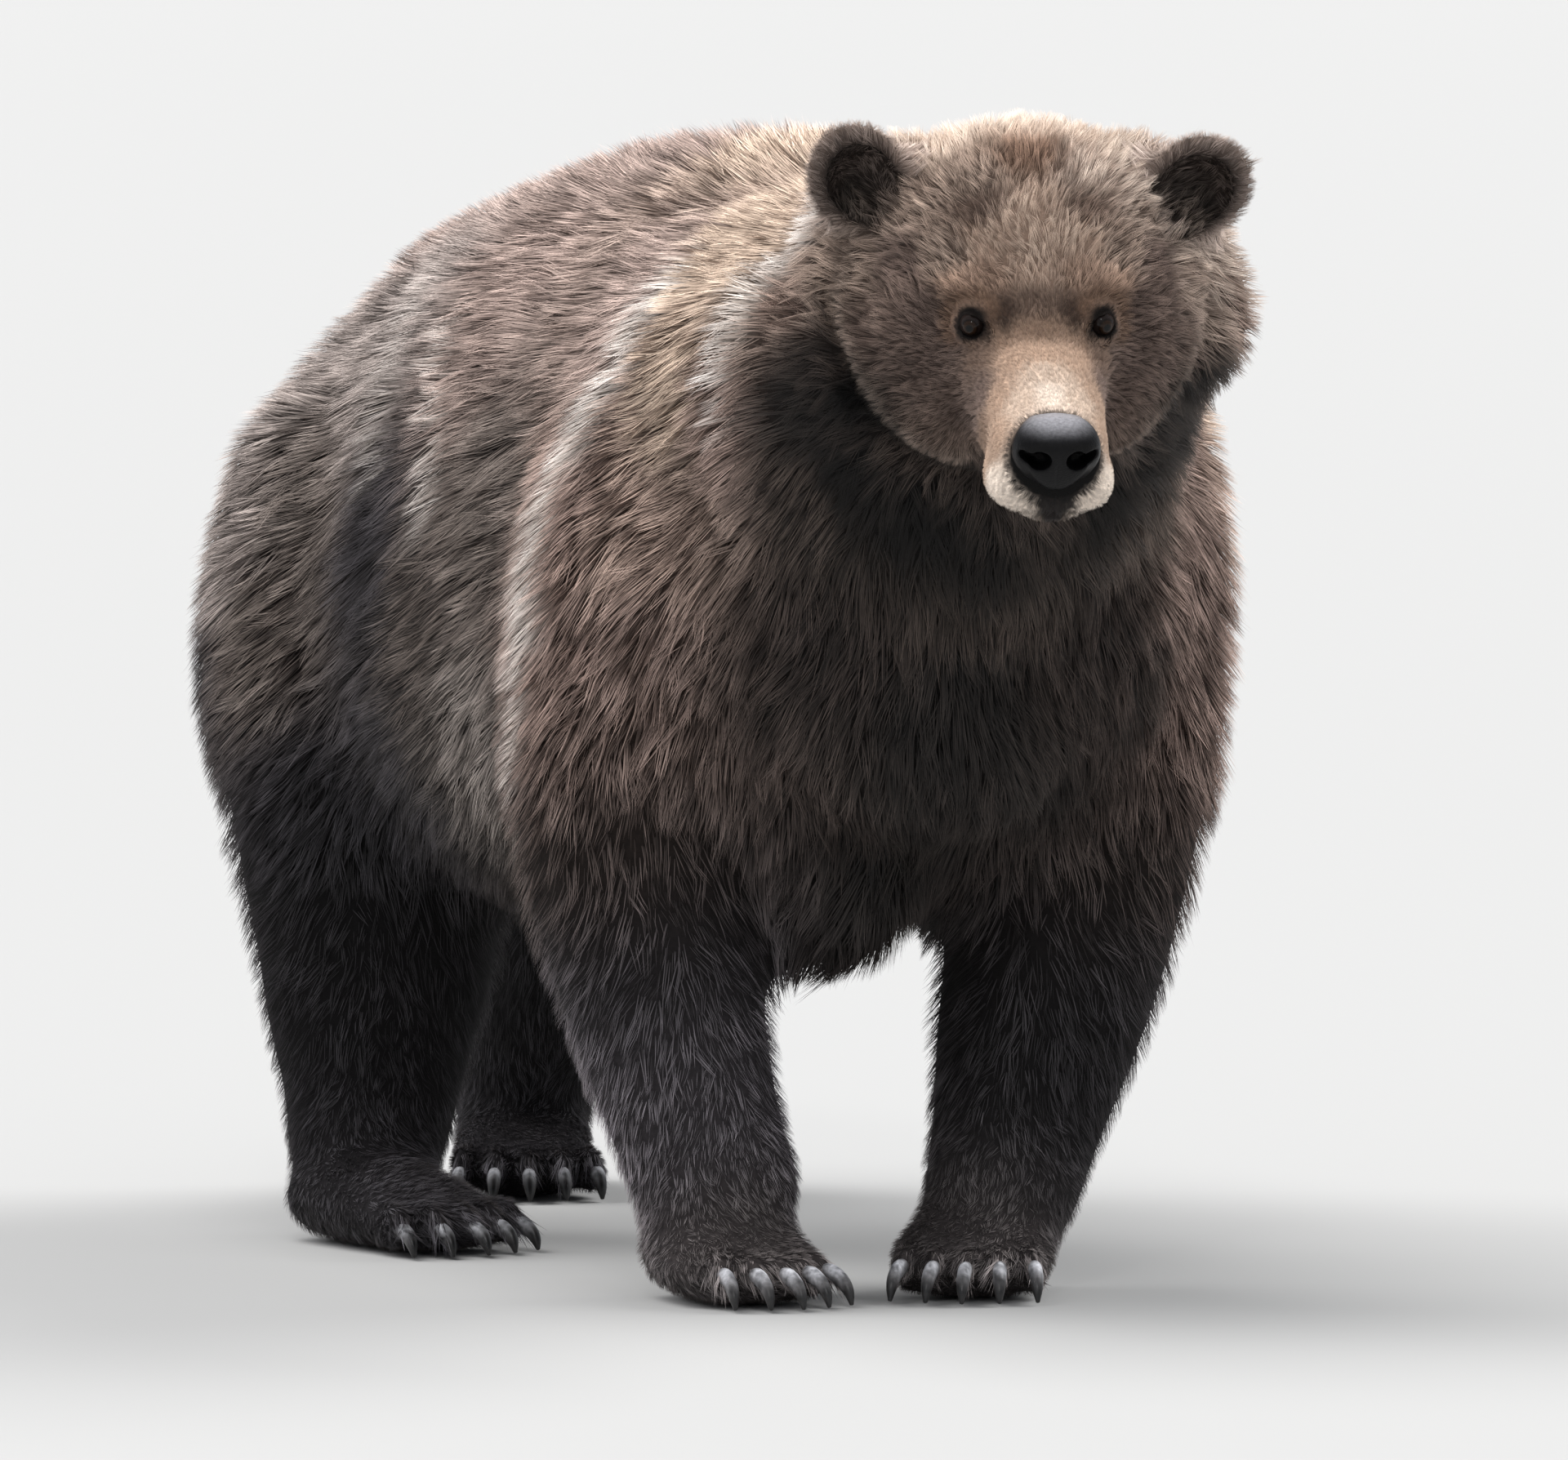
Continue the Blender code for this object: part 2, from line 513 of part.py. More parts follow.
def build():
    for o in list(bpy.data.objects):
        bpy.data.objects.remove(o)
    bm = bmesh.new()
    head_details(bm)
    toes(bm)
    body = blended(joined([core(), to_object(bm, "details")], "trunk"), 0.009, 5)
    thinned(body, FLESH_TRIS)
    # the soles: one level for every paw
    boolean(body, block((-1, -1.5, -0.3), (1.5, 2, 0.0)), "DIFFERENCE")
    for o in [o for o in bpy.data.objects if o.name.startswith("block")]:
        bpy.data.objects.remove(o)
    body = carve(body, hollows(7))
    tidy(body)
    h = head_place()
    parts = {}

    # the head comes away from the neck, then its own parts from it
    face = Matrix.Translation((0.02, NECK_CUT, 0.9)) @ Matrix.Rotation(math.radians(-8), 4, "Z")
    head = part_off(body, "head", lambda g: block((-0.6, -0.7, -0.4), (0.6, 0.0, 0.5), face, g))
    for side in ("left", "right"):
        e = ear_place(side)
        parts["ear_" + side] = part_off(head, "ear_" + side,
                                        lambda g: block((-0.072, -0.045, -0.036), (0.072, 0.06, 0.1), e, g))
    parts["lower_jaw"] = part_off(head, "lower_jaw", lambda g: block((-0.10, -0.26, -0.3), (0.10, 0.03, -0.112), h, g))
    parts["muzzle"] = part_off(head, "muzzle", lambda g: block((-0.15, -0.30, -0.3), (0.15, -0.034, 0.2), h, g))
    for s, side in ((-1, "right"), (1, "left")):
        at = (EYE_AT[0] * s, EYE_AT[1], EYE_AT[2])
        bm = bmesh.new()
        ball(bm, at, (EYE_R,) * 3, place=h, rings=7)
        parts["eye_" + side] = to_object(bm, "eye_" + side)
        bm = bmesh.new()
        ball(bm, at, (EYE_R + GAP,) * 3, place=h, rings=7)
        room = to_object(bm, "room")
        boolean(head, room, "DIFFERENCE")
        bpy.data.objects.remove(room)
    nose = nose_pad("nose", 12, 1, dome=(0.7,))
    room = nose_pad("room", 12, 1, 2 * GAP, dome=(0.7,))
    boolean(parts["muzzle"], room, "DIFFERENCE")
    boolean(parts["lower_jaw"], room, "DIFFERENCE")
    bpy.data.objects.remove(room)
    parts["nose"] = nose
    parts["head"] = head

    # legs: thighs and shoulders, then the shanks, then the paws
    for name, args in UPPER.items():
        parts[name + "_upper_leg"] = part_off(body, name + "_upper_leg", lambda g: wedge(*args, g))
    for name, (x0, x1, y0, y1) in LOWER.items():
        parts[name + "_lower_leg"] = part_off(body, name + "_lower_leg",
                                              lambda g: block((x0, y0, WRIST + GAP), (x1, y1, KNEE - GAP), None, g))
        parts[name + "_paw"] = part_off(body, name + "_paw",
                                        lambda g: block((x0, y0, -0.1), (x1, y1, WRIST - GAP), None, g))
    parts["tail"] = part_off(body, "tail", lambda g: block((0.045, 1.262, 0.70), (0.150, 1.40, 0.872), None, g))
    lean = Matrix.Translation((0.05, -0.22, 0.85)) @ Matrix.Rotation(math.radians(-20), 4, "X")
    parts["neck"] = part_off(body, "neck", lambda g: block((-0.7, -0.7, -0.35), (0.7, 0.0, 0.6), lean, g))
    parts["rump"] = part_off(body, "rump", lambda g: block((-0.7, 0.70, 0.1), (0.9, 1.6, 1.4), None, g))
    parts["trunk"] = body

    # claws, each in its own hollow in the toe
    for name, claw in claws().items():
        paw = parts[name[5:-2] + "_paw"]
        parts[name] = claw
    for paw_name in PAWS:
        paw = parts[paw_name + "_paw"]
        room = joined(list(claws(GAP).values())[list(PAWS).index(paw_name) * 5:][:5], "room")
        boolean(paw, room, "DIFFERENCE")
    for o in list(bpy.data.objects):
        if o.name not in parts:
            bpy.data.objects.remove(o)
    for name, obj in parts.items():
        tidy(obj)
        obj.name = name
        finish(obj)
    centre(list(parts.values()))
    print("triangles", sum(len(o.data.polygons) for o in parts.values()), len(parts),
          {n: len(o.data.polygons) for n, o in parts.items() if not n.startswith("claw")})


#   inner wall low, inner wall high, outer, y from, y to, z from, z to, lean
UPPER = {
    "front_left": (0.128, 0.225, 0.75, -0.42, 0.125, KNEE, 0.985, 0.06),
    "front_right": (-0.005, -0.080, -0.6, -0.42, 0.175, KNEE, 0.985, 0.06),
    "hind_left": (0.125, 0.215, 0.75, 0.80, 1.60, KNEE, 0.90, -0.10),
    "hind_right": (-0.040, -0.005, -0.6, 0.66, 1.60, KNEE, 0.90, 0.02),
}
LOWER = {  # x from, x to, y from, y to
    "front_left": (0.055, 0.70, -0.5, 0.4),
    "front_right": (-0.60, 0.050, -0.5, 0.4),
    "hind_left": (0.045, 0.70, 0.45, 1.7),
    "hind_right": (-0.60, 0.044, 0.45, 1.7),
}


def centre(objs):
    """Floor at z = 0, the bounding box's middle on the z axis."""
    lo = Vector((1e9,) * 3)
    hi = -lo
    for o in objs:
        for v in o.data.vertices:
            for k in range(3):
                lo[k] = min(lo[k], v.co[k])
                hi[k] = max(hi[k], v.co[k])
    shift = Vector((-(lo.x + hi.x) / 2, -(lo.y + hi.y) / 2, 0))
    for o in objs:
        o.data.transform(Matrix.Translation(shift))
    print("shift", tuple(round(v, 5) for v in shift), "lo", tuple(lo), "hi", tuple(hi))


build()
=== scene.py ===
"""Grizzly bear: one skin, its coat of mesh tufts, eyes, nose and claws, on a pale studio floor."""
import bpy
import bmesh
import math
import numpy as np
from mathutils import Vector, Matrix
from mathutils.kdtree import KDTree
from mathutils.bvhtree import BVHTree


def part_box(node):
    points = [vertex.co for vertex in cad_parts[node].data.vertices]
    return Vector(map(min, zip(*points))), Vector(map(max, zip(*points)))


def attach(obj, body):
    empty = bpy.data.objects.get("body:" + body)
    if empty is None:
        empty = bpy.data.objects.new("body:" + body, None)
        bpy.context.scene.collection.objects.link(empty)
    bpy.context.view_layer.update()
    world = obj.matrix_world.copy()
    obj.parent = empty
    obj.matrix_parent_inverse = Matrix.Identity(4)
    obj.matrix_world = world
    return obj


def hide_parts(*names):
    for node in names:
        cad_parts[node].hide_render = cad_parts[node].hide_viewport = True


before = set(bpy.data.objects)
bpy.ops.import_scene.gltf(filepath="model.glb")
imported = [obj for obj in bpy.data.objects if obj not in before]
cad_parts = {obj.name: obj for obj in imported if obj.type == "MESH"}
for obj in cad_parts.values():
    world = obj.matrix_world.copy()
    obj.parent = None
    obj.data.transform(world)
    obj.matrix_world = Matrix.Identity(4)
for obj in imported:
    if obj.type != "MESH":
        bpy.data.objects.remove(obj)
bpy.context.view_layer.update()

# ------------------------------------------------------------------ shape helpers
def spline(rows, steps):
    """Rows of numbers joined by a Catmull-Rom curve, with steps rows for each pair."""
    a = np.array(rows, float)
    p = np.vstack([2 * a[0] - a[1], a, 2 * a[-1] - a[-2]])
    out = []
    for i in range(1, len(p) - 2):
        for k in range(steps):
            t = k / steps
            out.append(0.5 * (2 * p[i] + (p[i + 1] - p[i - 1]) * t
                       + (2 * p[i - 1] - 5 * p[i] + 4 * p[i + 1] - p[i + 2]) * t ** 2
                       + (3 * p[i] - p[i - 1] - 3 * p[i + 1] + p[i + 2]) * t ** 3))
    out.append(a[-1])
    return np.array(out)


def loft(bm, rows, up, caps=(0.05, 0.05), ring=28, steps=4, level=False, place=None,
         dome=(0.3, 0.62, 0.95, 1.25)):
    """A closed tube through stations (x, y, z, half width, rise, drop, top power, bottom power).
    Each ring is a superellipse about its station, square to the path or to a fixed direction."""
    r = spline([list(x) + [2.0] * (8 - len(x)) for x in rows], steps)
    c = r[:, :3]
    along = np.gradient(c, axis=0)
    if level:
        along[:, 2] = 0
    along /= np.linalg.norm(along, axis=1)[:, None]
    side = np.cross(along, np.array(up, float))
    side /= np.linalg.norm(side, axis=1)[:, None]
    rise = np.cross(side, along)
    rings = [(c[0] - along[0] * caps[0] * math.sin(q), math.cos(q), 0)
             for q in dome[::-1]]
    rings += [(c[i], 1.0, i) for i in range(len(c))]
    rings += [(c[-1] + along[-1] * caps[1] * math.sin(q), math.cos(q), len(c) - 1)
              for q in dome]
    turn = np.linspace(0, 2 * math.pi, ring, endpoint=False)
    made = []
    for centre, k, i in rings:
        w, t, b, pt, pb = r[i, 3:8]
        verts = []
        for q in turn:
            cq, sq = math.cos(q), math.sin(q)
            p = pt if sq > 0 else pb
            u = math.copysign(abs(cq) ** (2 / p), cq) * w * k
            v = math.copysign(abs(sq) ** (2 / p), sq) * (t if sq > 0 else b) * k
            at = Vector(centre + side[i] * u + rise[i] * v)
            verts.append(bm.verts.new(place @ at if place else at))
        made.append(verts)
    for a, b in zip(made, made[1:]):
        for k in range(ring):
            bm.faces.new((a[k], b[k], b[(k + 1) % ring], a[(k + 1) % ring]))
    for verts, i, s in ((made[0], 0, -1), (made[-1], -1, 1)):
        at = Vector(c[i] + s * along[i] * caps[i])
        pole = bm.verts.new(place @ at if place else at)
        for k in range(ring):
            a, b = verts[k], verts[(k + 1) % ring]
            bm.faces.new((a, pole, b) if s > 0 else (b, pole, a))


def ball(bm, centre, radii, turn=(0, 0, 0), place=None, rings=14):
    """An ellipsoid; turn is in degrees about X, Y and Z."""
    m = Matrix.Translation(centre)
    for axis, q in zip("XYZ", turn):
        m = m @ Matrix.Rotation(math.radians(q), 4, axis)
    m = m @ Matrix.Diagonal((*radii, 1))
    if place:
        m = place @ m
    bmesh.ops.create_uvsphere(bm, u_segments=rings * 2, v_segments=rings, radius=1, matrix=m)


def to_object(bm, name):
    bmesh.ops.recalc_face_normals(bm, faces=bm.faces)
    mesh = bpy.data.meshes.new(name)
    bm.to_mesh(mesh)
    bm.free()
    obj = bpy.data.objects.new(name, mesh)
    bpy.context.scene.collection.objects.link(obj)
    return obj


def joined(objs, name):
    """Several mesh objects as one, their shells still apart."""
    with bpy.context.temp_override(active_object=objs[0], selected_editable_objects=objs):
        bpy.ops.object.join()
    objs[0].name = name
    return objs[0]


def settle(obj):
    """Applies an object's modifiers."""
    bpy.context.view_layer.update()
    graph = bpy.context.evaluated_depsgraph_get()
    mesh = bpy.data.meshes.new_from_object(obj.evaluated_get(graph), depsgraph=graph)
    old = obj.data
    obj.modifiers.clear()
    obj.data = mesh
    bpy.data.meshes.remove(old)
    return obj


def blended(obj, voxel, rounds, factor=0.5):
    """Joins an object's overlapping shells into one skin and rounds the joins."""
    m = obj.modifiers.new("join", "REMESH")
    m.mode = "VOXEL"
    m.voxel_size = voxel
    m.adaptivity = 0
    if rounds:
        s = obj.modifiers.new("round", "SMOOTH")
        s.factor = factor
        s.iterations = rounds
    return settle(obj)

def smoothed(obj, rounds, factor=0.5):
    s = obj.modifiers.new("round", "SMOOTH")
    s.factor = factor
    s.iterations = rounds
    return settle(obj)

# ------------------------------------------------------------------ named sizes (metres)
#   x, y of the spine; z_wide, half_w, z_top, z_low, p_top, p_low
TRUNK = [
    (0.000, -0.32, 0.80, 0.20, 1.00, 0.60, 2.0, 2.0),
    (0.030, -0.23, 0.76, 0.285, 1.09, 0.50, 2.0, 2.0),
    (0.062, -0.09, 0.72, 0.335, 1.165, 0.40, 1.95, 2.1),
    (0.082, 0.08, 0.69, 0.35, 1.195, 0.36, 1.9, 2.2),
    (0.092, 0.27, 0.66, 0.36, 1.194, 0.335, 1.95, 2.2),
    (0.104, 0.47, 0.64, 0.366, 1.181, 0.320, 2.05, 2.3),
    (0.108, 0.66, 0.635, 0.357, 1.151, 0.325, 2.05, 2.3),
    (0.108, 0.84, 0.64, 0.330, 1.113, 0.355, 2.05, 2.2),
    (0.106, 1.00, 0.67, 0.292, 1.084, 0.40, 1.95, 2.1),
    (0.102, 1.12, 0.69, 0.242, 1.036, 0.45, 1.88, 2.0),
    (0.100, 1.20, 0.70, 0.19, 0.965, 0.52, 1.9, 2.0),
]
NECK = [  # x, y, z, half width, rise, drop
    (0.075, 0.04, 0.90, 0.31, 0.25, 0.26),
    (0.060, -0.13, 0.93, 0.30, 0.245, 0.30),
    (0.040, -0.28, 0.96, 0.28, 0.23, 0.31),
    (0.022, -0.40, 1.00, 0.255, 0.205, 0.26),
    (0.005, -0.48, 1.03, 0.215, 0.17, 0.20),
]
#   x, y, z, half width, reach forward, reach back
FRONT_LEFT = [
    (0.318, -0.09, 0.80, 0.125, 0.17, 0.17),
    (0.330, -0.06, 0.62, 0.13, 0.155, 0.16),
    (0.308, -0.035, 0.47, 0.136, 0.145, 0.15),
    (0.270, -0.03, 0.33, 0.132, 0.13, 0.135),
    (0.247, -0.035, 0.24, 0.118, 0.108, 0.113),
    (0.228, -0.04, 0.165, 0.099, 0.093, 0.092),
    (0.202, -0.055, 0.095, 0.089, 0.09, 0.082),
]
FRONT_RIGHT = [
    (-0.165, 0.02, 0.80, 0.125, 0.17, 0.17),
    (-0.182, 0.03, 0.62, 0.13, 0.155, 0.16),
    (-0.169, 0.035, 0.47, 0.133, 0.145, 0.15),
    (-0.139, 0.02, 0.33, 0.124, 0.125, 0.13),
    (-0.124, 0.01, 0.24, 0.110, 0.103, 0.108),
    (-0.108, 0.00, 0.165, 0.098, 0.092, 0.09),
    (-0.090, -0.02, 0.095, 0.093, 0.09, 0.082),
]
HIND_RIGHT = [
    (-0.105, 0.96, 0.80, 0.13, 0.20, 0.20),
    (-0.150, 0.92, 0.62, 0.135, 0.20, 0.22),
    (-0.148, 0.84, 0.47, 0.152, 0.18, 0.18),
    (-0.136, 0.81, 0.34, 0.154, 0.14, 0.14),
    (-0.148, 0.79, 0.24, 0.132, 0.11, 0.12),
    (-0.158, 0.77, 0.155, 0.106, 0.09, 0.105),
    (-0.177, 0.745, 0.09, 0.091, 0.085, 0.09),
]
HIND_LEFT = [
    (0.275, 0.98, 0.80, 0.13, 0.20, 0.20),
    (0.290, 1.02, 0.62, 0.13, 0.20, 0.20),
    (0.268, 1.06, 0.47, 0.122, 0.165, 0.17),
    (0.238, 1.13, 0.34, 0.114, 0.125, 0.135),
    (0.226, 1.18, 0.24, 0.104, 0.105, 0.11),
    (0.219, 1.235, 0.155, 0.092, 0.09, 0.095),
    (0.218, 1.275, 0.09, 0.084, 0.085, 0.085),
]
# heel x, y; direction the toes point, degrees from -Y towards +X; length; half width;
# toe spacing; middle toe's offset; claw length
PAWS = {
    "front_right": ((-0.105, 0.035), 3.0, 0.18, 0.097, 0.0265, 0.009, 0.066),
    "front_left": ((0.205, -0.010), -29.0, 0.17, 0.095, 0.0315, 0.001, 0.066),
    "hind_right": ((-0.215, 0.775), 12.0, 0.26, 0.090, 0.034, 0.000, 0.046),
    "hind_left": ((0.236, 1.325), -20.0, 0.26, 0.086, 0.034, 0.000, 0.046),
}
SHOULDERS = {"left": (0.292, -0.10, 0.79), "right": (-0.142, 0.03, 0.79)}
EYES_AT = (-0.018, -0.655, 1.030)
HEAD_YAW, HEAD_PITCH = 17.0, 21.0


def head_place():
    """The head's own frame: x to the animal's left, y to the back, z up, from between the eyes."""
    return (Matrix.Translation(EYES_AT) @ Matrix.Rotation(math.radians(-HEAD_YAW), 4, "Z")
            @ Matrix.Rotation(math.radians(HEAD_PITCH), 4, "X"))


def core():
    """Trunk, neck, limbs and the head's mass, joined and rounded."""
    bm = bmesh.new()
    loft(bm, [(x, y, zw, w, zt - zw, zw - zb, pt, pb) for x, y, zw, w, zt, zb, pt, pb in TRUNK],
         up=(0, 0, 1), level=True, caps=(0.10, 0.09), ring=36)
    loft(bm, NECK, up=(0, 0, 1), caps=(0.1, 0.08), ring=32)
    ball(bm, (0.045, -0.19, 0.74), (0.23, 0.19, 0.28), (-12, 0, 0))
    ball(bm, (0.030, -0.03, 0.455), (0.092, 0.16, 0.145))
    ball(bm, SHOULDERS["left"], (0.145, 0.20, 0.27), (18, -8, -16))
    ball(bm, SHOULDERS["right"], (0.145, 0.20, 0.27), (18, 8, -16))
    for s in (-1, 1):
        ball(bm, (0.104 + 0.178 * s, 0.965, 0.66), (0.15, 0.27, 0.32), (-8, -6 * s, 0))
    for leg in (FRONT_LEFT, FRONT_RIGHT, HIND_RIGHT, HIND_LEFT):
        loft(bm, leg, up=(0, -1, 0), caps=(0.1, 0.05))
    for (x, y), q, length, w, *_ in PAWS.values():
        d = Vector((math.sin(math.radians(q)), -math.cos(math.radians(q)), 0))
        at = lambda u, z: (x + d.x * u, y + d.y * u, z)
        loft(bm, [(*at(0.02, 0.045), w * 0.80, 0.05, 0.05),
                  (*at(length * 0.35, 0.045), w * 0.92, 0.06, 0.052),
                  (*at(length * 0.70, 0.040), w, 0.045, 0.048),
                  (*at(length * 0.92, 0.034), w * 0.96, 0.030, 0.042)],
             up=(0, 0, 1), caps=(0.03, 0.03), steps=3)
    h = head_place()
    ball(bm, (0, 0.165, 0.005), (0.178, 0.165, 0.145), place=h)
    for s in (-1, 1):
        ball(bm, (0.100 * s, 0.125, -0.050), (0.085, 0.12, 0.115), (0, -14 * s, 0), place=h)
        ball(bm, (0.072 * s, 0.075, -0.090), (0.072, 0.10, 0.088), (0, -8 * s, 0), place=h)
        ball(bm, (0.140 * s, 0.225, -0.045), (0.105, 0.12, 0.165), (0, -10 * s, 0), place=h)
    ball(bm, (0.172, 0.215, -0.085), (0.098, 0.11, 0.105), place=h)
    ball(bm, (0.095, 1.285, 0.79), (0.032, 0.045, 0.065), (25, 0, 0))
    return blended(to_object(bm, "core"), 0.012, 22)


HEAD = [  # y, z, half width, rise, drop: from the nape to the lips
    (0.160, 0.000, 0.150, 0.135, 0.150),
    (0.110, -0.008, 0.142, 0.122, 0.150),
    (0.060, -0.020, 0.124, 0.098, 0.145),
    (0.020, -0.035, 0.098, 0.074, 0.130),
    (-0.020, -0.050, 0.077, 0.064, 0.112),
    (-0.065, -0.062, 0.066, 0.062, 0.096),
    (-0.115, -0.070, 0.061, 0.060, 0.084),
    (-0.160, -0.075, 0.059, 0.058, 0.072),
    (-0.192, -0.078, 0.052, 0.052, 0.058),
]
EAR_AT = {"left": (0.176, 0.155, 0.080), "right": (-0.170, 0.155, 0.092)}
EAR_LEAN = {"left": 38, "right": -30}
EAR = (0.060, 0.030, 0.070)
EYE_AT = (0.0648, -0.0045, 0.000)
EYE_R = 0.0125


def ear_place(side):
    s = 1 if side == "left" else -1
    return (head_place() @ Matrix.Translation(EAR_AT[side]) @ Matrix.Rotation(math.radians(-16 * s), 4, "Z")
            @ Matrix.Rotation(math.radians(EAR_LEAN[side]), 4, "Y"))


def head_details(bm):
    h = head_place()
    loft(bm, [(0, y, z, w, r, d, 2.2, 2.3) for y, z, w, r, d in HEAD], up=(0, 0, 1), caps=(0.05, 0.025), place=h)
    for s, side in ((-1, "right"), (1, "left")):
        ball(bm, (0.034 * s, -0.148, -0.101), (0.033, 0.060, 0.034), place=h)
        ball(bm, (0.062 * s, 0.040, 0.030), (0.046, 0.040, 0.024), (0, 14 * s, 0), place=h)
        ball(bm, (0, 0, 0), EAR, place=ear_place(side))
        ball(bm, (0, 0.022, -0.050), (0.046, 0.040, 0.046), place=ear_place(side))


def carve(obj, cutters):
    """The cutters' volume taken away, and the cutters with it."""
    cut = joined(cutters, "cutter")
    m = obj.modifiers.new("cut", "BOOLEAN")
    m.operation, m.solver, m.object = "DIFFERENCE", "EXACT", cut
    obj = settle(obj)
    bpy.data.objects.remove(cut)
    return obj


def hollows():
    """The cup of each ear and the socket of each eye."""
    out = []
    h = head_place()
    for s, side in ((-1, "right"), (1, "left")):
        bm = bmesh.new()
        ball(bm, (0, -0.036, 0.002), (0.036, 0.032, 0.043), place=ear_place(side))
        out.append(to_object(bm, "cup"))
        bm = bmesh.new()
        ball(bm, ((EYE_AT[0] + 0.006) * s, EYE_AT[1] - 0.018, EYE_AT[2]), (0.022, 0.016, 0.014), (0, 0, 18 * s), place=h)
        out.append(to_object(bm, "socket"))
    return out


def toe_places():
    """Each toe's name, centre and the way it points, degrees from -Y towards +X."""
    for name, ((x, y), q, length, w, gap, off, claw) in PAWS.items():
        d = Vector((math.sin(math.radians(q)), -math.cos(math.radians(q)), 0))
        n = Vector((-d.y, d.x, 0))
        for k in range(-2, 3):
            u = length * 0.98 - 0.008 * abs(k) ** 1.5
            yield name, k, Vector((x, y, 0.030)) + d * u + n * (k * gap + off), q + 5 * k, claw


def toes(bm):
    for name, k, p, q, claw in toe_places():
        ball(bm, p + Vector((0, 0, 0.001)), (0.0185, 0.046, 0.0305), (-6, 0, q), rings=8)


def claws(grow=0.0):
    """Twenty curved claws, each rising out of its toe and coming down near the floor."""
    out = {}
    for name, k, p, q, size in toe_places():
        m = Matrix.Translation(p) @ Matrix.Rotation(math.radians(q), 4, "Z")
        t = size / 0.068
        bm = bmesh.new()
        path = [(0.006, 0.000), (0.036, 0.005), (0.058, -0.002), (0.070, -0.013), (0.0755, -0.0255)]
        wide = [0.0080, 0.0086, 0.0082, 0.0064, 0.0026]
        deep = [0.0085, 0.0092, 0.0082, 0.0060, 0.0024]
        shift = 0.022 * (1 - t)
        rows = [(0, -(shift + u * t + 0.004 * (1 - t)), -0.026 + (v + 0.026) * (0.35 + 0.65 * t), a + grow, b + grow, b + grow)
                for (u, v), a, b in zip(path, wide, deep)]
        loft(bm, rows, up=(0, 0, 1), caps=(0.003 + grow, 0.0012), ring=CLAW_RING, steps=CLAW_STEPS, place=m,
             dome=CLAW_DOME)
        out["claw_%s_%d" % (name, k + 3)] = to_object(bm, "claw_%s_%d" % (name, k + 3))
    return out


CLAW_RING, CLAW_STEPS, CLAW_DOME = 6, 1, ()


NOSE = [  # y, z, half width, rise, drop
    (-0.176, -0.050, 0.036, 0.034, 0.036),
    (-0.196, -0.052, 0.044, 0.039, 0.043),
    (-0.212, -0.054, 0.042, 0.035, 0.043),
    (-0.222, -0.057, 0.031, 0.023, 0.033),
]
NOSTRIL = (0.019, -0.228, -0.048)


def nose_pad(name, ring, steps, grow=0.0, nostrils=5, dome=(0.4, 0.9)):
    """The nose: a broad pad, wider above, with two open nostrils."""
    h = head_place()
    bm = bmesh.new()
    loft(bm, [(0, y, z, w + grow, r + grow, d + grow, 2.4, 1.9) for y, z, w, r, d in NOSE],
         up=(0, 0, 1), caps=(0.008 + grow, 0.006 + grow), ring=ring, steps=steps, place=h,
         dome=dome)
    pad = to_object(bm, name)
    if grow or not nostrils:
        return pad
    cutters = []
    for s in (-1, 1):
        bm = bmesh.new()
        ball(bm, (NOSTRIL[0] * s, NOSTRIL[1], NOSTRIL[2]), (0.0105, 0.012, 0.0090), (0, 24 * s, 0), place=h, rings=nostrils)
        cutters.append(to_object(bm, "nostril"))
    return carve(pad, cutters)


def bear(voxel, rounds):
    bm = bmesh.new()
    head_details(bm)
    toes(bm)
    obj = blended(joined([core(), to_object(bm, "details")], "bear"), voxel, rounds)
    obj = carve(obj, hollows())
    return smoothed(obj, 2)

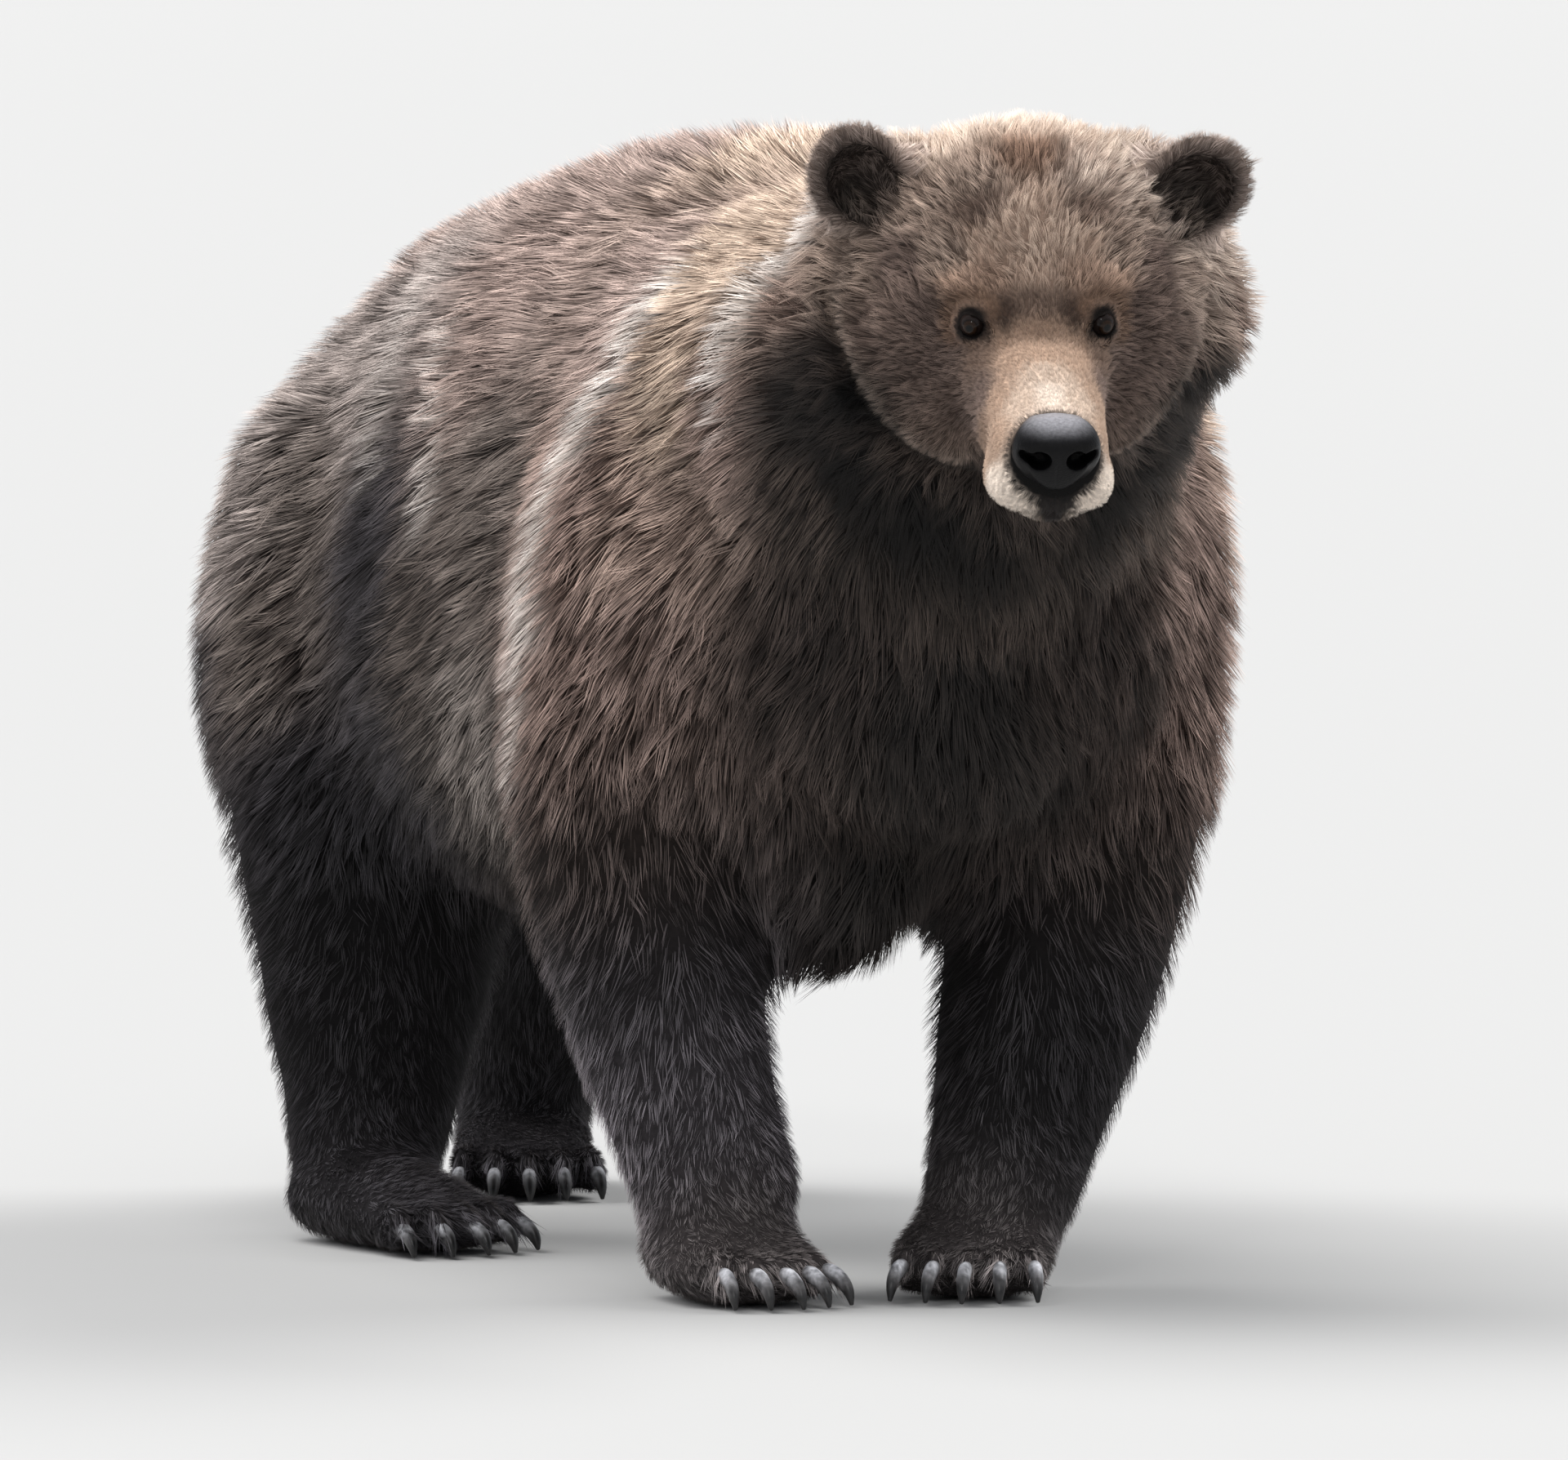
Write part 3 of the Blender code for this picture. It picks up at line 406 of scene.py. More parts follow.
# ==================================================================== the coat's map
# Named places on the animal: which way the hair lies, its colours, the coat's depth and the hair's
# length (mm). Between them every quantity runs smoothly. x is measured out from the midline.
PALETTE = {  # under colour, tip colour (linear)
    "golden": ((0.125, 0.08, 0.057), (0.92, 0.72, 0.57)),
    "brown": ((0.058, 0.038, 0.032), (0.62, 0.475, 0.42)),
    "shoulder": ((0.092, 0.058, 0.046), (0.78, 0.58, 0.485)),
    "russet": ((0.08, 0.051, 0.041), (0.6, 0.435, 0.375)),
    "arm": ((0.0285, 0.0205, 0.0175), (0.165, 0.125, 0.112)),
    "rump": ((0.040, 0.030, 0.026), (0.56, 0.48, 0.445)),
    "flank": ((0.024, 0.017, 0.0145), (0.27, 0.225, 0.2)),
    "under": ((0.014, 0.0105, 0.009), (0.165, 0.135, 0.12)),
    "belly": ((0.034, 0.026, 0.022), (0.44, 0.385, 0.35)),
    # partly painted sheen: the blue-grey cast of the thigh and dark tips stands for sky light on dark hair, and the
    # dark tips are lightened for it
    "thigh": ((0.0096, 0.0084, 0.0092), (0.064, 0.059, 0.066)),
    "dark": ((0.0146, 0.0126, 0.0136), (0.104, 0.097, 0.11)),
    "breast": ((0.0140, 0.0100, 0.0086), (0.088, 0.066, 0.058)),
    "crown": ((0.48, 0.355, 0.275), (0.93, 0.79, 0.67)),
    "glabella": ((0.235, 0.152, 0.112), (0.68, 0.475, 0.36)),
    "buff": ((0.495, 0.372, 0.29), (0.72, 0.575, 0.47)),
    "lips": ((0.86, 0.725, 0.61), (1.0, 0.89, 0.78)),
    "corner": ((0.030, 0.019, 0.0145), (0.115, 0.074, 0.057)),
    "rust": ((0.12, 0.072, 0.05), (0.46, 0.295, 0.215)),
    "patch": ((0.12, 0.08, 0.062), (0.4, 0.285, 0.23)),
    # painted light: this pale blue-grey stands for sky light on the lower right foreleg
    "lit_shin": ((0.066, 0.058, 0.064), (0.50, 0.455, 0.50)),
    # the dark fur of chest and belly, also used as painted shade in the armpit, behind the face and in the ruff on the
    # right
    "chest": ((0.0082, 0.0064, 0.0058), (0.037, 0.030, 0.027)),
    # painted shade: near black, under the head and jaw, in the crease behind the face and in each ear's cup
    "throat": ((0.0028, 0.0022, 0.0019), (0.009, 0.007, 0.0062)),
    "neck": ((0.0225, 0.0158, 0.0132), (0.165, 0.125, 0.104)),
    # partly painted sheen: the tip is lightened and cooled to blue-grey for sky light on dark hair
    "black": ((0.0245, 0.022, 0.024), (0.142, 0.134, 0.15)),
    "paw": ((0.068, 0.058, 0.058), (0.37, 0.33, 0.325)),
    "tan": ((0.385, 0.258, 0.185), (0.6, 0.43, 0.325)),
    "cream": ((0.74, 0.6, 0.5), (0.94, 0.81, 0.7)),
    "fawn": ((0.165, 0.104, 0.073), (0.36, 0.25, 0.185)),
    "cheek": ((0.084, 0.057, 0.047), (0.335, 0.243, 0.205)),
    "temple": ((0.15, 0.105, 0.083), (0.76, 0.58, 0.47)),
    "sunlit": ((0.36, 0.265, 0.215), (1.0, 0.85, 0.73)),
    "forehead": ((0.5, 0.345, 0.262), (1.0, 0.79, 0.64)),
    "between": ((0.085, 0.055, 0.041), (0.32, 0.222, 0.172)),
    "brow": ((0.115, 0.068, 0.046), (0.32, 0.205, 0.142)),
    "lid": ((0.0075, 0.0058, 0.0052), (0.017, 0.013, 0.0115)),
    "chin": ((0.10, 0.070, 0.050), (0.34, 0.27, 0.21)),
    # partly painted light: lightened for light shining through the ear's hair from behind
    "ear": ((0.085, 0.062, 0.052), (0.56, 0.44, 0.385)),
}

BODY = [  # out, y, z; lie (out, back, up); palette; depth, length
    (0.00, 0.08, 1.195, (0, 1, -0.10), "golden", 34, 62),
    (0.00, 0.35, 1.17, (0, 1, -0.12), "brown", 33, 61),
    (0.00, 0.65, 1.11, (0, 1, -0.2), "brown", 32, 58),
    (0.00, 0.95, 1.03, (0, 1, -0.4), "brown", 30, 54),
    (0.00, 1.18, 0.92, (0, 0.6, -0.8), "rump", 28, 50),
    (0.00, 1.30, 0.80, (0, 0.3, -1), "flank", 16, 37),
    (0.24, 0.05, 1.08, (0.45, 0.75, -0.5), "brown", 33, 59),
    (0.26, 0.40, 1.02, (0.4, 0.8, -0.5), "brown", 32, 58),
    (0.26, 0.75, 0.97, (0.4, 0.75, -0.55), "rump", 30, 56),
    (0.22, 1.05, 0.92, (0.3, 0.6, -0.75), "rump", 28, 51),
    (0.35, 0.25, 0.82, (0.1, 0.7, -0.7), "flank", 32, 58),
    (0.36, 0.60, 0.75, (0.1, 0.65, -0.75), "thigh", 31, 58),
    (0.33, 0.95, 0.75, (0.05, 0.5, -0.85), "rump", 28, 51),
    (0.36, 0.30, 0.55, (-0.1, 0.6, -0.8), "belly", 30, 54),
    (0.35, 0.60, 0.50, (-0.1, 0.6, -0.8), "thigh", 30, 53),
    (0.18, 0.35, 0.36, (-0.4, 0.8, -0.3), "chest", 28, 48),
    (0.00, 0.30, 0.335, (0, 1, -0.1), "chest", 28, 45),
    (0.00, 0.65, 0.33, (0, 1, 0), "chest", 28, 45),
    (0.00, 0.00, 0.40, (0, 1, -0.3), "chest", 28, 45),
    (0.28, 1.00, 0.60, (0.05, 0.3, -0.95), "thigh", 25, 43),
    (0.22, 1.20, 0.62, (0, 0.15, -1), "thigh", 25, 43),
    (0.345, 0.84, 0.80, (0.1, 0.55, -0.8), "flank", 29, 52),
    (0.36, 0.84, 0.66, (0.05, 0.45, -0.85), "flank", 28, 50),
    (0.365, 0.42, 0.68, (0.1, 0.65, -0.75), "under", 31, 56),
    (0.08, 1.20, 0.58, (0, 0.1, -1), "dark", 24, 38),
    (0.30, 0.75, 0.45, (0, 0.3, -0.95), "thigh", 24, 42),
    (0.25, -0.02, 1.02, (0.4, 0.6, -0.7), "brown", 33, 58),
    (0.33, -0.02, 0.85, (0.15, 0.45, -0.9), "russet", 31, 53),
    (0.35, -0.03, 0.68, (0, 0.3, -0.95), "russet", 28, 47),
    (0.00, -0.36, 0.62, (0, 0.05, -1), "chest", 30, 48),
    (0.15, -0.34, 0.70, (0.15, 0.1, -1), "breast", 30, 48),
    (0.24, -0.26, 0.62, (0.15, 0.15, -1), "breast", 29, 48),
    (0.00, -0.22, 0.45, (0, 0.1, -1), "chest", 29, 62),
    (0.00, -0.06, 0.33, (0, 0.2, -1), "chest", 28, 54),
    (0.00, -0.47, 0.82, (0, 0.3, -0.95), "throat", 30, 45),
    (0.20, -0.42, 0.85, (0.25, 0.5, -0.85), "neck", 32, 48),
    (0.27, -0.18, 0.96, (0.3, 0.6, -0.7), "golden", 33, 53),
    (0.30, -0.14, 0.82, (0.2, 0.5, -0.85), "shoulder", 32, 52),
    (0.31, -0.14, 0.68, (0.1, 0.3, -0.95), "russet", 29, 48),
    (0.20, -0.16, 1.10, (0.4, 0.8, -0.4), "golden", 33, 56),
    (0.28, 1.00, 0.85, (0.3, 0.5, -0.8), "rump", 28, 50),
    (0.26, -0.30, 0.93, (0.3, 0.7, -0.65), "russet", 33, 53),
    (0.20, -0.30, 1.10, (0.4, 0.9, -0.3), "golden", 31, 48),
    (0.00, -0.25, 1.17, (0, 1, 0), "golden", 32, 51),
    (0.00, -0.42, 1.18, (0, 1, 0.05), "golden", 26, 38),
]
FACE = [  # the same in the head's frame
    (0.000, -0.200, -0.030, (0, 1, 0.2), "cream", 2.6, 6.5),
    (0.000, -0.140, -0.012, (0, 1, 0.15), "cream", 2.8, 7),
    (0.028, -0.140, -0.016, (0, 1, 0.15), "buff", 2.8, 7),
    (0.000, -0.070, 0.002, (0, 1, 0.2), "tan", 3.2, 8),
    (0.032, -0.070, -0.004, (0, 1, 0.2), "tan", 3.2, 8),
    (0.000, -0.105, -0.005, (0, 1, 0.2), "buff", 3, 7.5),
    (0.000, -0.040, 0.008, (0, 0.9, 0.35), "fawn", 4, 9),
    (0.000, -0.012, 0.018, (0, 0.9, 0.5), "between", 5, 12),
    (0.038, -0.038, 0.002, (0.2, 0.9, 0.3), "fawn", 3.5, 8),
    (0.036, -0.012, 0.014, (0.2, 0.9, 0.4), "corner", 3.5, 9),
    (0.000, 0.020, 0.038, (0, 0.8, 0.6), "forehead", 7, 14),
    (0.045, 0.015, 0.034, (0.35, 0.75, 0.55), "glabella", 6, 12),
    (0.080, 0.012, 0.030, (0.5, 0.8, 0.35), "glabella", 6, 12),
    (0.000, 0.060, 0.080, (0, 0.8, 0.6), "forehead", 9, 15),
    (0.045, 0.045, 0.062, (0.3, 0.8, 0.5), "forehead", 9, 15),
    (0.090, 0.045, 0.052, (0.5, 0.8, 0.35), "temple", 10, 17),
    (0.000, 0.110, 0.135, (0, 0.9, 0.45), "rust", 12, 19),
    (0.055, 0.070, 0.086, (0.3, 0.8, 0.45), "patch", 11, 17),
    (0.060, 0.090, 0.105, (0.3, 0.85, 0.4), "temple", 12, 18),
    (0.110, 0.100, 0.085, (0.5, 0.85, 0.2), "temple", 12, 19),
    (0.000, 0.190, 0.160, (0, 1, 0), "crown", 18, 31),
    (0.100, 0.170, 0.140, (0.3, 1, 0), "crown", 16, 29),
    (0.120, 0.070, 0.030, (0.6, 0.8, -0.05), "cheek", 11, 19),
    (0.155, 0.130, 0.010, (0.6, 0.8, -0.2), "temple", 16, 27),
    (0.105, 0.030, 0.000, (0.6, 0.8, -0.05), "cheek", 7, 13),
    (0.052, -0.035, -0.020, (0.3, 0.95, -0.1), "between", 3.5, 8),
    (0.060, -0.070, -0.045, (0.3, 0.95, -0.1), "cheek", 3.5, 9),
    (0.085, 0.005, -0.035, (0.5, 0.85, -0.2), "cheek", 6, 12),
    (0.100, 0.050, -0.060, (0.5, 0.8, -0.35), "cheek", 10, 17),
    (0.140, 0.100, -0.060, (0.5, 0.75, -0.45), "cheek", 15, 26),
    (0.175, 0.150, -0.040, (0.4, 0.7, -0.6), "temple", 18, 31),
    (0.100, 0.080, -0.150, (0.3, 0.75, -0.6), "neck", 14, 26),
    (0.150, 0.070, -0.110, (0.4, 0.7, -0.6), "throat", 15, 26),
    (0.052, -0.110, -0.035, (0.1, 1, -0.1), "tan", 3, 7.5),
    (0.057, -0.155, -0.060, (0.1, 0.95, -0.25), "tan", 2.6, 7),
    (0.063, -0.095, -0.080, (0.15, 0.95, -0.25), "fawn", 3.6, 9),
    (0.060, -0.130, -0.100, (0.15, 0.95, -0.35), "tan", 3.2, 8),
    (0.050, -0.180, -0.100, (0.2, 0.9, -0.5), "lips", 3, 8),
    (0.070, -0.040, -0.080, (0.3, 0.9, -0.3), "cheek", 6, 13),
    (0.066, -0.070, -0.115, (0.3, 0.9, -0.4), "fawn", 5, 12),
    (0.040, -0.190, -0.118, (0.2, 0.6, -0.8), "lips", 3.4, 10),
    (0.000, -0.192, -0.140, (0, 0.6, -0.8), "chin", 4, 11),
    (0.030, -0.160, -0.150, (0.1, 0.8, -0.6), "chin", 6, 14),
    (0.000, -0.100, -0.155, (0, 1, -0.4), "cheek", 9, 15),
    (0.045, -0.080, -0.145, (0.2, 0.9, -0.5), "cheek", 9, 15),
    (0.000, 0.000, -0.170, (0, 1, -0.3), "chest", 13, 22),
    (0.200, 0.130, -0.150, (0.2, 0.7, -0.7), "chest", 24, 39),
    (0.165, 0.095, -0.200, (0.2, 0.6, -0.8), "throat", 24, 39),
    (0.100, 0.065, -0.240, (0.1, 0.5, -0.9), "throat", 24, 39),
    (0.000, 0.050, -0.240, (0, 0.4, -0.95), "neck", 24, 39),
    (0.230, 0.160, -0.050, (0.3, 0.75, -0.6), "shoulder", 26, 38),
    (0.210, 0.240, 0.080, (0.5, 0.85, -0.1), "brown", 22, 37),
    (0.150, 0.200, -0.200, (0.2, 0.7, -0.7), "chest", 26, 42),
]
ONE_SIDE = [  # in the head's frame, on one side only: x is signed. Painted light and shade: on the left (x > 0) the sunlit entries paint light on the side of the head and the near-black entry paints shade under the face disc; on the right (x < 0) the two dark entries paint shade in the ruff behind the face
    (-0.190, 0.140, -0.095, (-0.3, 0.7, -0.65), "chest", 21, 33),
    (-0.193, 0.162, -0.064, (-0.3, 0.7, -0.65), "neck", 20, 30),
    (0.245, 0.190, -0.090, (0.25, 0.75, -0.6), "shoulder", 26, 33),
    (0.235, 0.165, -0.040, (0.25, 0.75, -0.6), "sunlit", 24, 33),
    (0.182, 0.155, -0.030, (0.4, 0.7, -0.6), "sunlit", 18, 29),
    (0.160, 0.135, 0.015, (0.6, 0.8, -0.2), "sunlit", 16, 26),
    (0.108, 0.105, 0.088, (0.5, 0.85, 0.2), "sunlit", 12, 19),
    (0.060, 0.092, 0.107, (0.3, 0.85, 0.4), "sunlit", 12, 18),
    (0.195, 0.122, -0.120, (0.2, 0.7, -0.7), "throat", 22, 36),
    (0.225, 0.180, -0.150, (0.3, 0.7, -0.65), "neck", 28, 44),
]
# pale crescents where the coat parts: points (out from the midline, y, z), width, strength
BANDS = [
    ([(0.232, -0.395, 1.165), (0.25, -0.325, 1.10), (0.275, -0.300, 1.03), (0.288, -0.304, 0.975)], 0.023, 1.0),
    ([(0.289, -0.306, 0.965), (0.287, -0.312, 0.92)], 0.018, 0.55),
    ([(0.24, -0.08, 1.06), (0.29, -0.042, 1.00), (0.325, 0.000, 0.916), (0.365, 0.058, 0.825), (0.39, 0.052, 0.735), (0.39, 0.046, 0.69)], 0.024, 1.0),
    ([(0.39, 0.046, 0.68), (0.39, 0.05, 0.56)], 0.018, 0.55),
    ([(0.27, 0.53, 0.985), (0.34, 0.445, 0.870), (0.365, 0.425, 0.80)], 0.020, 0.5),
    ([(0.20, 0.72, 1.02), (0.29, 0.66, 0.93), (0.345, 0.63, 0.83)], 0.018, 0.35),
]
# in the head's frame: the ridge round the face, and the crease behind it
RIDGE = [(0.160, 0.145, 0.060), (0.186, 0.118, -0.008), (0.182, 0.090, -0.048), (0.170, 0.062, -0.080),
         (0.143, 0.035, -0.118), (0.108, 0.012, -0.150), (0.070, -0.010, -0.165)]
CREASE = [(0.207, 0.128, -0.030), (0.203, 0.112, -0.050), (0.190, 0.082, -0.088),
          (0.166, 0.056, -0.134), (0.130, 0.036, -0.172), (0.085, 0.018, -0.198), (0.000, 0.008, -0.205)]
LINES = {}          # the same curves laid on the body's surface, filled in once there is one

HEAD_M = np.array(head_place())
MIDLINE = np.array([(r[1], r[0]) for r in NECK[::-1]] + [(r[1], r[0]) for r in TRUNK if r[1] > 0.1])


def midline(y):
    return np.interp(y, MIDLINE[:, 0], MIDLINE[:, 1])


def to_head(P):
    return (P - HEAD_M[:3, 3]) @ HEAD_M[:3, :3]


def anchors():
    pos, val = [], []

    def add(p, d, pal, depth, length):
        d = np.array(d, float)
        base, tip = PALETTE[pal]
        pos.append(p)
        val.append([*(d / np.linalg.norm(d)), *base, *tip, depth / 1000, length / 1000])

    for x, y, z, (dx, dy, dz), *rest in BODY:
        m = float(midline(y))
        for s in ((1, -1) if x else (1,)):
            add((m + s * x, y, z), (s * dx, dy, dz), *rest)
    # on its left side only: the lit outer edge of the breast, and the shade in the armpit
    for x, y, z, pal in ((0.335, -0.20, 0.64, "russet"), (0.290, -0.24, 0.76, "russet"), (0.165, -0.27, 0.50, "chest")):
        add((midline(y) + x, y, z), (0.15, 0.15, -1), pal, 28, 44)
    R, T = HEAD_M[:3, :3], HEAD_M[:3, 3]
    for x, y, z, (dx, dy, dz), *rest in FACE:
        for s in ((1, -1) if x else (1,)):
            add(T + R @ np.array((s * x, y, z)), R @ np.array((s * dx, dy, dz)), *rest)
    for x, y, z, d, *rest in ONE_SIDE:
        add(T + R @ np.array((x, y, z)), R @ np.array(d), *rest)
    for leg, upper in ((FRONT_LEFT, "arm"), (FRONT_RIGHT, "arm"), (HIND_RIGHT, "thigh"), (HIND_LEFT, "thigh")):
        for x, y, z, w, fwd, back in leg:
            if z > 0.7:
                continue
            hind = upper == "thigh"
            pal = upper if z > (0.12 if hind else 0.5) else "dark" if z > 0.2 else "black"
            # painted light and shade: the lower right foreleg, which faces the light, takes the pale shin colour; the
            # lower left one takes the dark thigh colour, for the shade of the body
            if not hind and z < 0.3:
                pal = "lit_shin" if leg is FRONT_RIGHT else "thigh" if z > 0.12 else pal
            elif not hind and z > 0.4:
                pal = "arm"
            elif hind and z <= 0.2:
                pal = "thigh"
            depth = float(np.interp(z, (0.09, 0.16, 0.3, 0.5, 0.62), (7, 10, 15, 21, 25)))
            length = float(np.interp(z, (0.09, 0.16, 0.3, 0.5, 0.62), (16, 21, 29, 38, 44)))
            add((x, y, z), (0, 0.08, -1), pal, depth, length)
    for name, ((x, y), q, length, w, *_) in PAWS.items():
        pal = "black" if "hind" in name else "paw"
        d = np.array((math.sin(math.radians(q)), -math.cos(math.radians(q)), 0))
        for u, z, dz, depth, hair in ((0.3, 0.05, -0.8, 7, 15), (0.75, 0.06, -0.35, 6, 13), (1.0, 0.035, -0.3, 5, 12)):
            add(np.array((x, y, z)) + d * length * u, (*(d[:2]), dz), pal, depth, hair)
    return np.array(pos), np.array(val)


A_POS, A_VAL = anchors()


def waves(P, size, seed, n=7):
    """A smooth pattern of bumps of about one size, between -1 and 1."""
    rng = np.random.default_rng(seed)
    out = np.zeros(len(P))
    for i in range(n):
        k = rng.normal(size=3)
        k *= (2 * np.pi / size) * (0.6 + 0.8 * rng.random()) / np.linalg.norm(k)
        out += np.sin(P @ k + rng.random() * 2 * np.pi)
    return np.clip(out / math.sqrt(n / 2) / 1.6, -1, 1)


def smooth(x, a, b):
    t = np.clip((x - a) / (b - a), 0, 1)
    return t * t * (3 - 2 * t)


def resampled(pts, step=0.012):
    pts = np.array(pts, float)
    out = [pts[0]]
    for a, b in zip(pts, pts[1:]):
        n = max(1, int(np.linalg.norm(b - a) / step))
        out += [a + (b - a) * (i + 1) / n for i in range(n)]
    return np.array(out)


def lay_lines(bvh):
    """Moves every named curve onto the body's surface, on both sides."""
    R, T = HEAD_M[:3, :3], HEAD_M[:3, 3]
    for name, curves in (("band", [(p, w, k, False) for p, w, k in BANDS]),
                         ("ridge", [(RIDGE, 0.016, 1, True)]), ("crease", [(CREASE, 0.019, 1, True)])):
        LINES[name] = []
        for pts, width, strength, on_head in curves:
            for s in (-1, 1):
                q = resampled(pts) * (s, 1, 1)
                q = T + q @ R.T if on_head else q + np.column_stack([midline(q[:, 1]), 0 * q[:, 1], 0 * q[:, 1]])
                q = np.array([tuple(bvh.find_nearest(p)[0]) for p in q.tolist()])
                LINES[name].append((q, width, strength * ({"crease": 0.45, "band": 0.6}.get(name, 1) if s > 0 else 1)))


def near_line(name, P):
    """How strongly each point lies on a named curve."""
    out = np.zeros(len(P))
    wob = 1 + 0.35 * waves(P, 0.09, 71)
    for pts, width, strength in LINES.get(name, []):
        lo, hi = pts.min(0) - 0.11, pts.max(0) + 0.11
        idx = np.nonzero(((P > lo) & (P < hi)).all(1))[0]
        if not len(idx):
            continue
        p = P[idx]
        d = np.full(len(p), 1e9)
        for a, b in zip(pts, pts[1:]):
            t = np.clip(((p - a) @ (b - a)) / max((b - a) @ (b - a), 1e-12), 0, 1)
            d = np.minimum(d, ((p - a - t[:, None] * (b - a)) ** 2).sum(1))
        out[idx] = np.maximum(out[idx], strength * np.exp(-d / (width * wob[idx]) ** 2))
    return out


def ear_masks(P):
    """For each ear: the point in the ear's own frame, how much it belongs to the ear, and to its cup."""
    for side in ("left", "right"):
        M = np.array(ear_place(side))
        q = (P - M[:3, 3]) @ M[:3, :3]
        r = np.linalg.norm(q / (np.array(EAR) * (1.12, 1.5, 1.12)), axis=1)
        body = 1 - smooth(r, 0.98, 1.22)
        cup = 1 - smooth(np.linalg.norm((q - (0, -0.036, 0.002)) / (0.042, 0.038, 0.050), axis=1), 0.90, 1.08)
        own = body * np.maximum(smooth(q[:, 2], -0.050, -0.026), cup)
        yield side, M, q, own, own * cup


def field(P):
    """Lie of the hair, under colour, tip colour, coat depth and hair length at each point."""
    out = np.empty((len(P), A_VAL.shape[1]))
    a2 = (A_POS ** 2).sum(1)
    for i in range(0, len(P), 20000):
        p = P[i:i + 20000]
        d2 = np.maximum((p ** 2).sum(1)[:, None] - 2 * p @ A_POS.T + a2[None], 0)
        w = 1 / (d2 + 3e-5) ** 2.3
        w /= w.sum(1, keepdims=True)
        out[i:i + 20000] = w @ A_VAL
    lie, base, tip, depth, length = out[:, :3], out[:, 3:6], out[:, 6:9], out[:, 9], out[:, 10]
    on_ear = np.zeros(len(P))
    for side, M, q, own, cup in ear_masks(P):
        on_ear = np.maximum(on_ear, own)
        up = np.column_stack([q[:, 0] * 20, -0.30 * np.ones(len(q)), 0.35 * np.ones(len(q)) + q[:, 2] * 12])
        inw = np.column_stack([-q[:, 0] * 12, -0.30 * np.ones(len(q)), 0.5 - q[:, 2] * 8])
        up = up * (1 - cup)[:, None] + inw * cup[:, None]
        up = (up @ M[:3, :3].T)
        k = own[:, None]
        lie[:] = lie * (1 - k) + up * k
        eb, et = [np.array(c) for c in PALETTE["ear"]]
        # painted shade: the cup takes the near-black shade colour
        kb, kt = [np.array(c) for c in PALETTE["throat"]]
        c = cup[:, None]
        base[:] = base * (1 - k) + (eb * (1 - c) + kb * 0.6 * c) * k
        tip[:] = tip * (1 - k) + (et * (1 - c) + kt * 0.6 * c) * k
        # the pale rim is partly the ear's pale hair tips, partly painted light for light shining through its edge from
        # behind
        edge = own * smooth(np.linalg.norm(q[:, [0, 2]] / (EAR[0], EAR[2]), axis=1), 0.62, 0.88)
        rim = (edge * (1 - cup))[:, None]
        base[:] = base * (1 - rim) + np.array((0.40, 0.30, 0.25)) * rim
        tip[:] = tip * (1 - rim) + np.array((1.0, 0.83, 0.74)) * rim
        depth[:] = depth * (1 - own) + (0.0075 + 0.0035 * edge) * own
        k = np.minimum(1, 1.6 * own)
        length[:] = length * (1 - k) + (0.016 + 0.005 * cup + 0.004 * edge) * k
    h = to_head(P)
    ax = np.abs(h[:, 0])
    e = np.sqrt((ax - EYE_AT[0]) ** 2 + (h[:, 1] - EYE_AT[1]) ** 2 + (h[:, 2] - EYE_AT[2]) ** 2)
    near = 1 - smooth(e, 0.0165, 0.032)
    # a warm ring round the eye, then the dark of the lids, running in towards the nose as a tear line
    lb, lt = [np.array(c) for c in PALETTE["brow"]]
    k = (np.exp(-((e - 0.0285) / 0.008) ** 2) * smooth(h[:, 2] + 0.9 * (ax - EYE_AT[0]), -0.020, 0.000) * 0.9)[:, None]
    base[:] = base * (1 - k) + lb * 1.15 * k
    tip[:] = tip * (1 - k) + lt * 1.1 * k
    lb, lt = [np.array(c) for c in PALETTE["lid"]]
    duct = np.sqrt(((ax - 0.047) / 0.016) ** 2 + ((h[:, 2] + 0.007 - 0.20 * (ax - 0.047)) / 0.0075) ** 2 + ((h[:, 1] + 0.018) / 0.022) ** 2)
    # painted shade in the hollow on the nose side of each eye
    eye_hollow_shade = np.sqrt(((ax - 0.033) / 0.009) ** 2 + ((h[:, 2] - 0.003 + 0.5 * (ax - 0.033)) / 0.007) ** 2 + ((h[:, 1] + 0.018) / 0.022) ** 2)
    dark = np.maximum(np.maximum(1 - smooth(e, 0.0155, 0.0235), 0.75 * (1 - smooth(duct, 0.3, 1.5))), 0.62 * (1 - smooth(eye_hollow_shade, 0.4, 1.5)))[:, None]
    base[:] = base * (1 - dark) + lb * dark
    tip[:] = tip * (1 - dark) + lt * dark
    depth[:] = depth * (1 - near) + 0.0016 * near
    length[:] = length * (1 - near) + 0.0042 * near
    # the dark rim that the nose leather keeps round it, and the lips' edge
    front = 1 - smooth(h[:, 1], -0.160, -0.135)
    half = np.interp(-h[:, 2], (0.085, 0.105, 0.140), (0.034, 0.025, 0.010)) * (1 + 0.20 * waves(P, 0.012, 41))
    below = (1 - smooth(ax, half - 0.012, half + 0.008)) * smooth(-h[:, 2], 0.080, 0.092) * (1 - smooth(-h[:, 2], 0.132, 0.144)) * front
    r = np.linalg.norm((h - (0, -0.200, -0.056)) / (0.051, 0.045, 0.048), axis=1)
    under_pad = 1 - smooth(r, 0.88, 0.97)
    m = np.maximum(np.maximum(lip(h) * 0.9, below), np.maximum(0.75 * (1 - smooth(r, 0.96, 1.05)), under_pad))[:, None]
    base[:] = base * (1 - m) + np.array((0.014, 0.011, 0.0105)) * m
    tip[:] = tip * (1 - m) + np.array((0.032, 0.026, 0.024)) * m
    base[:] *= (1 - 0.9 * under_pad)[:, None]
    tip[:] *= (1 - 0.9 * under_pad)[:, None]
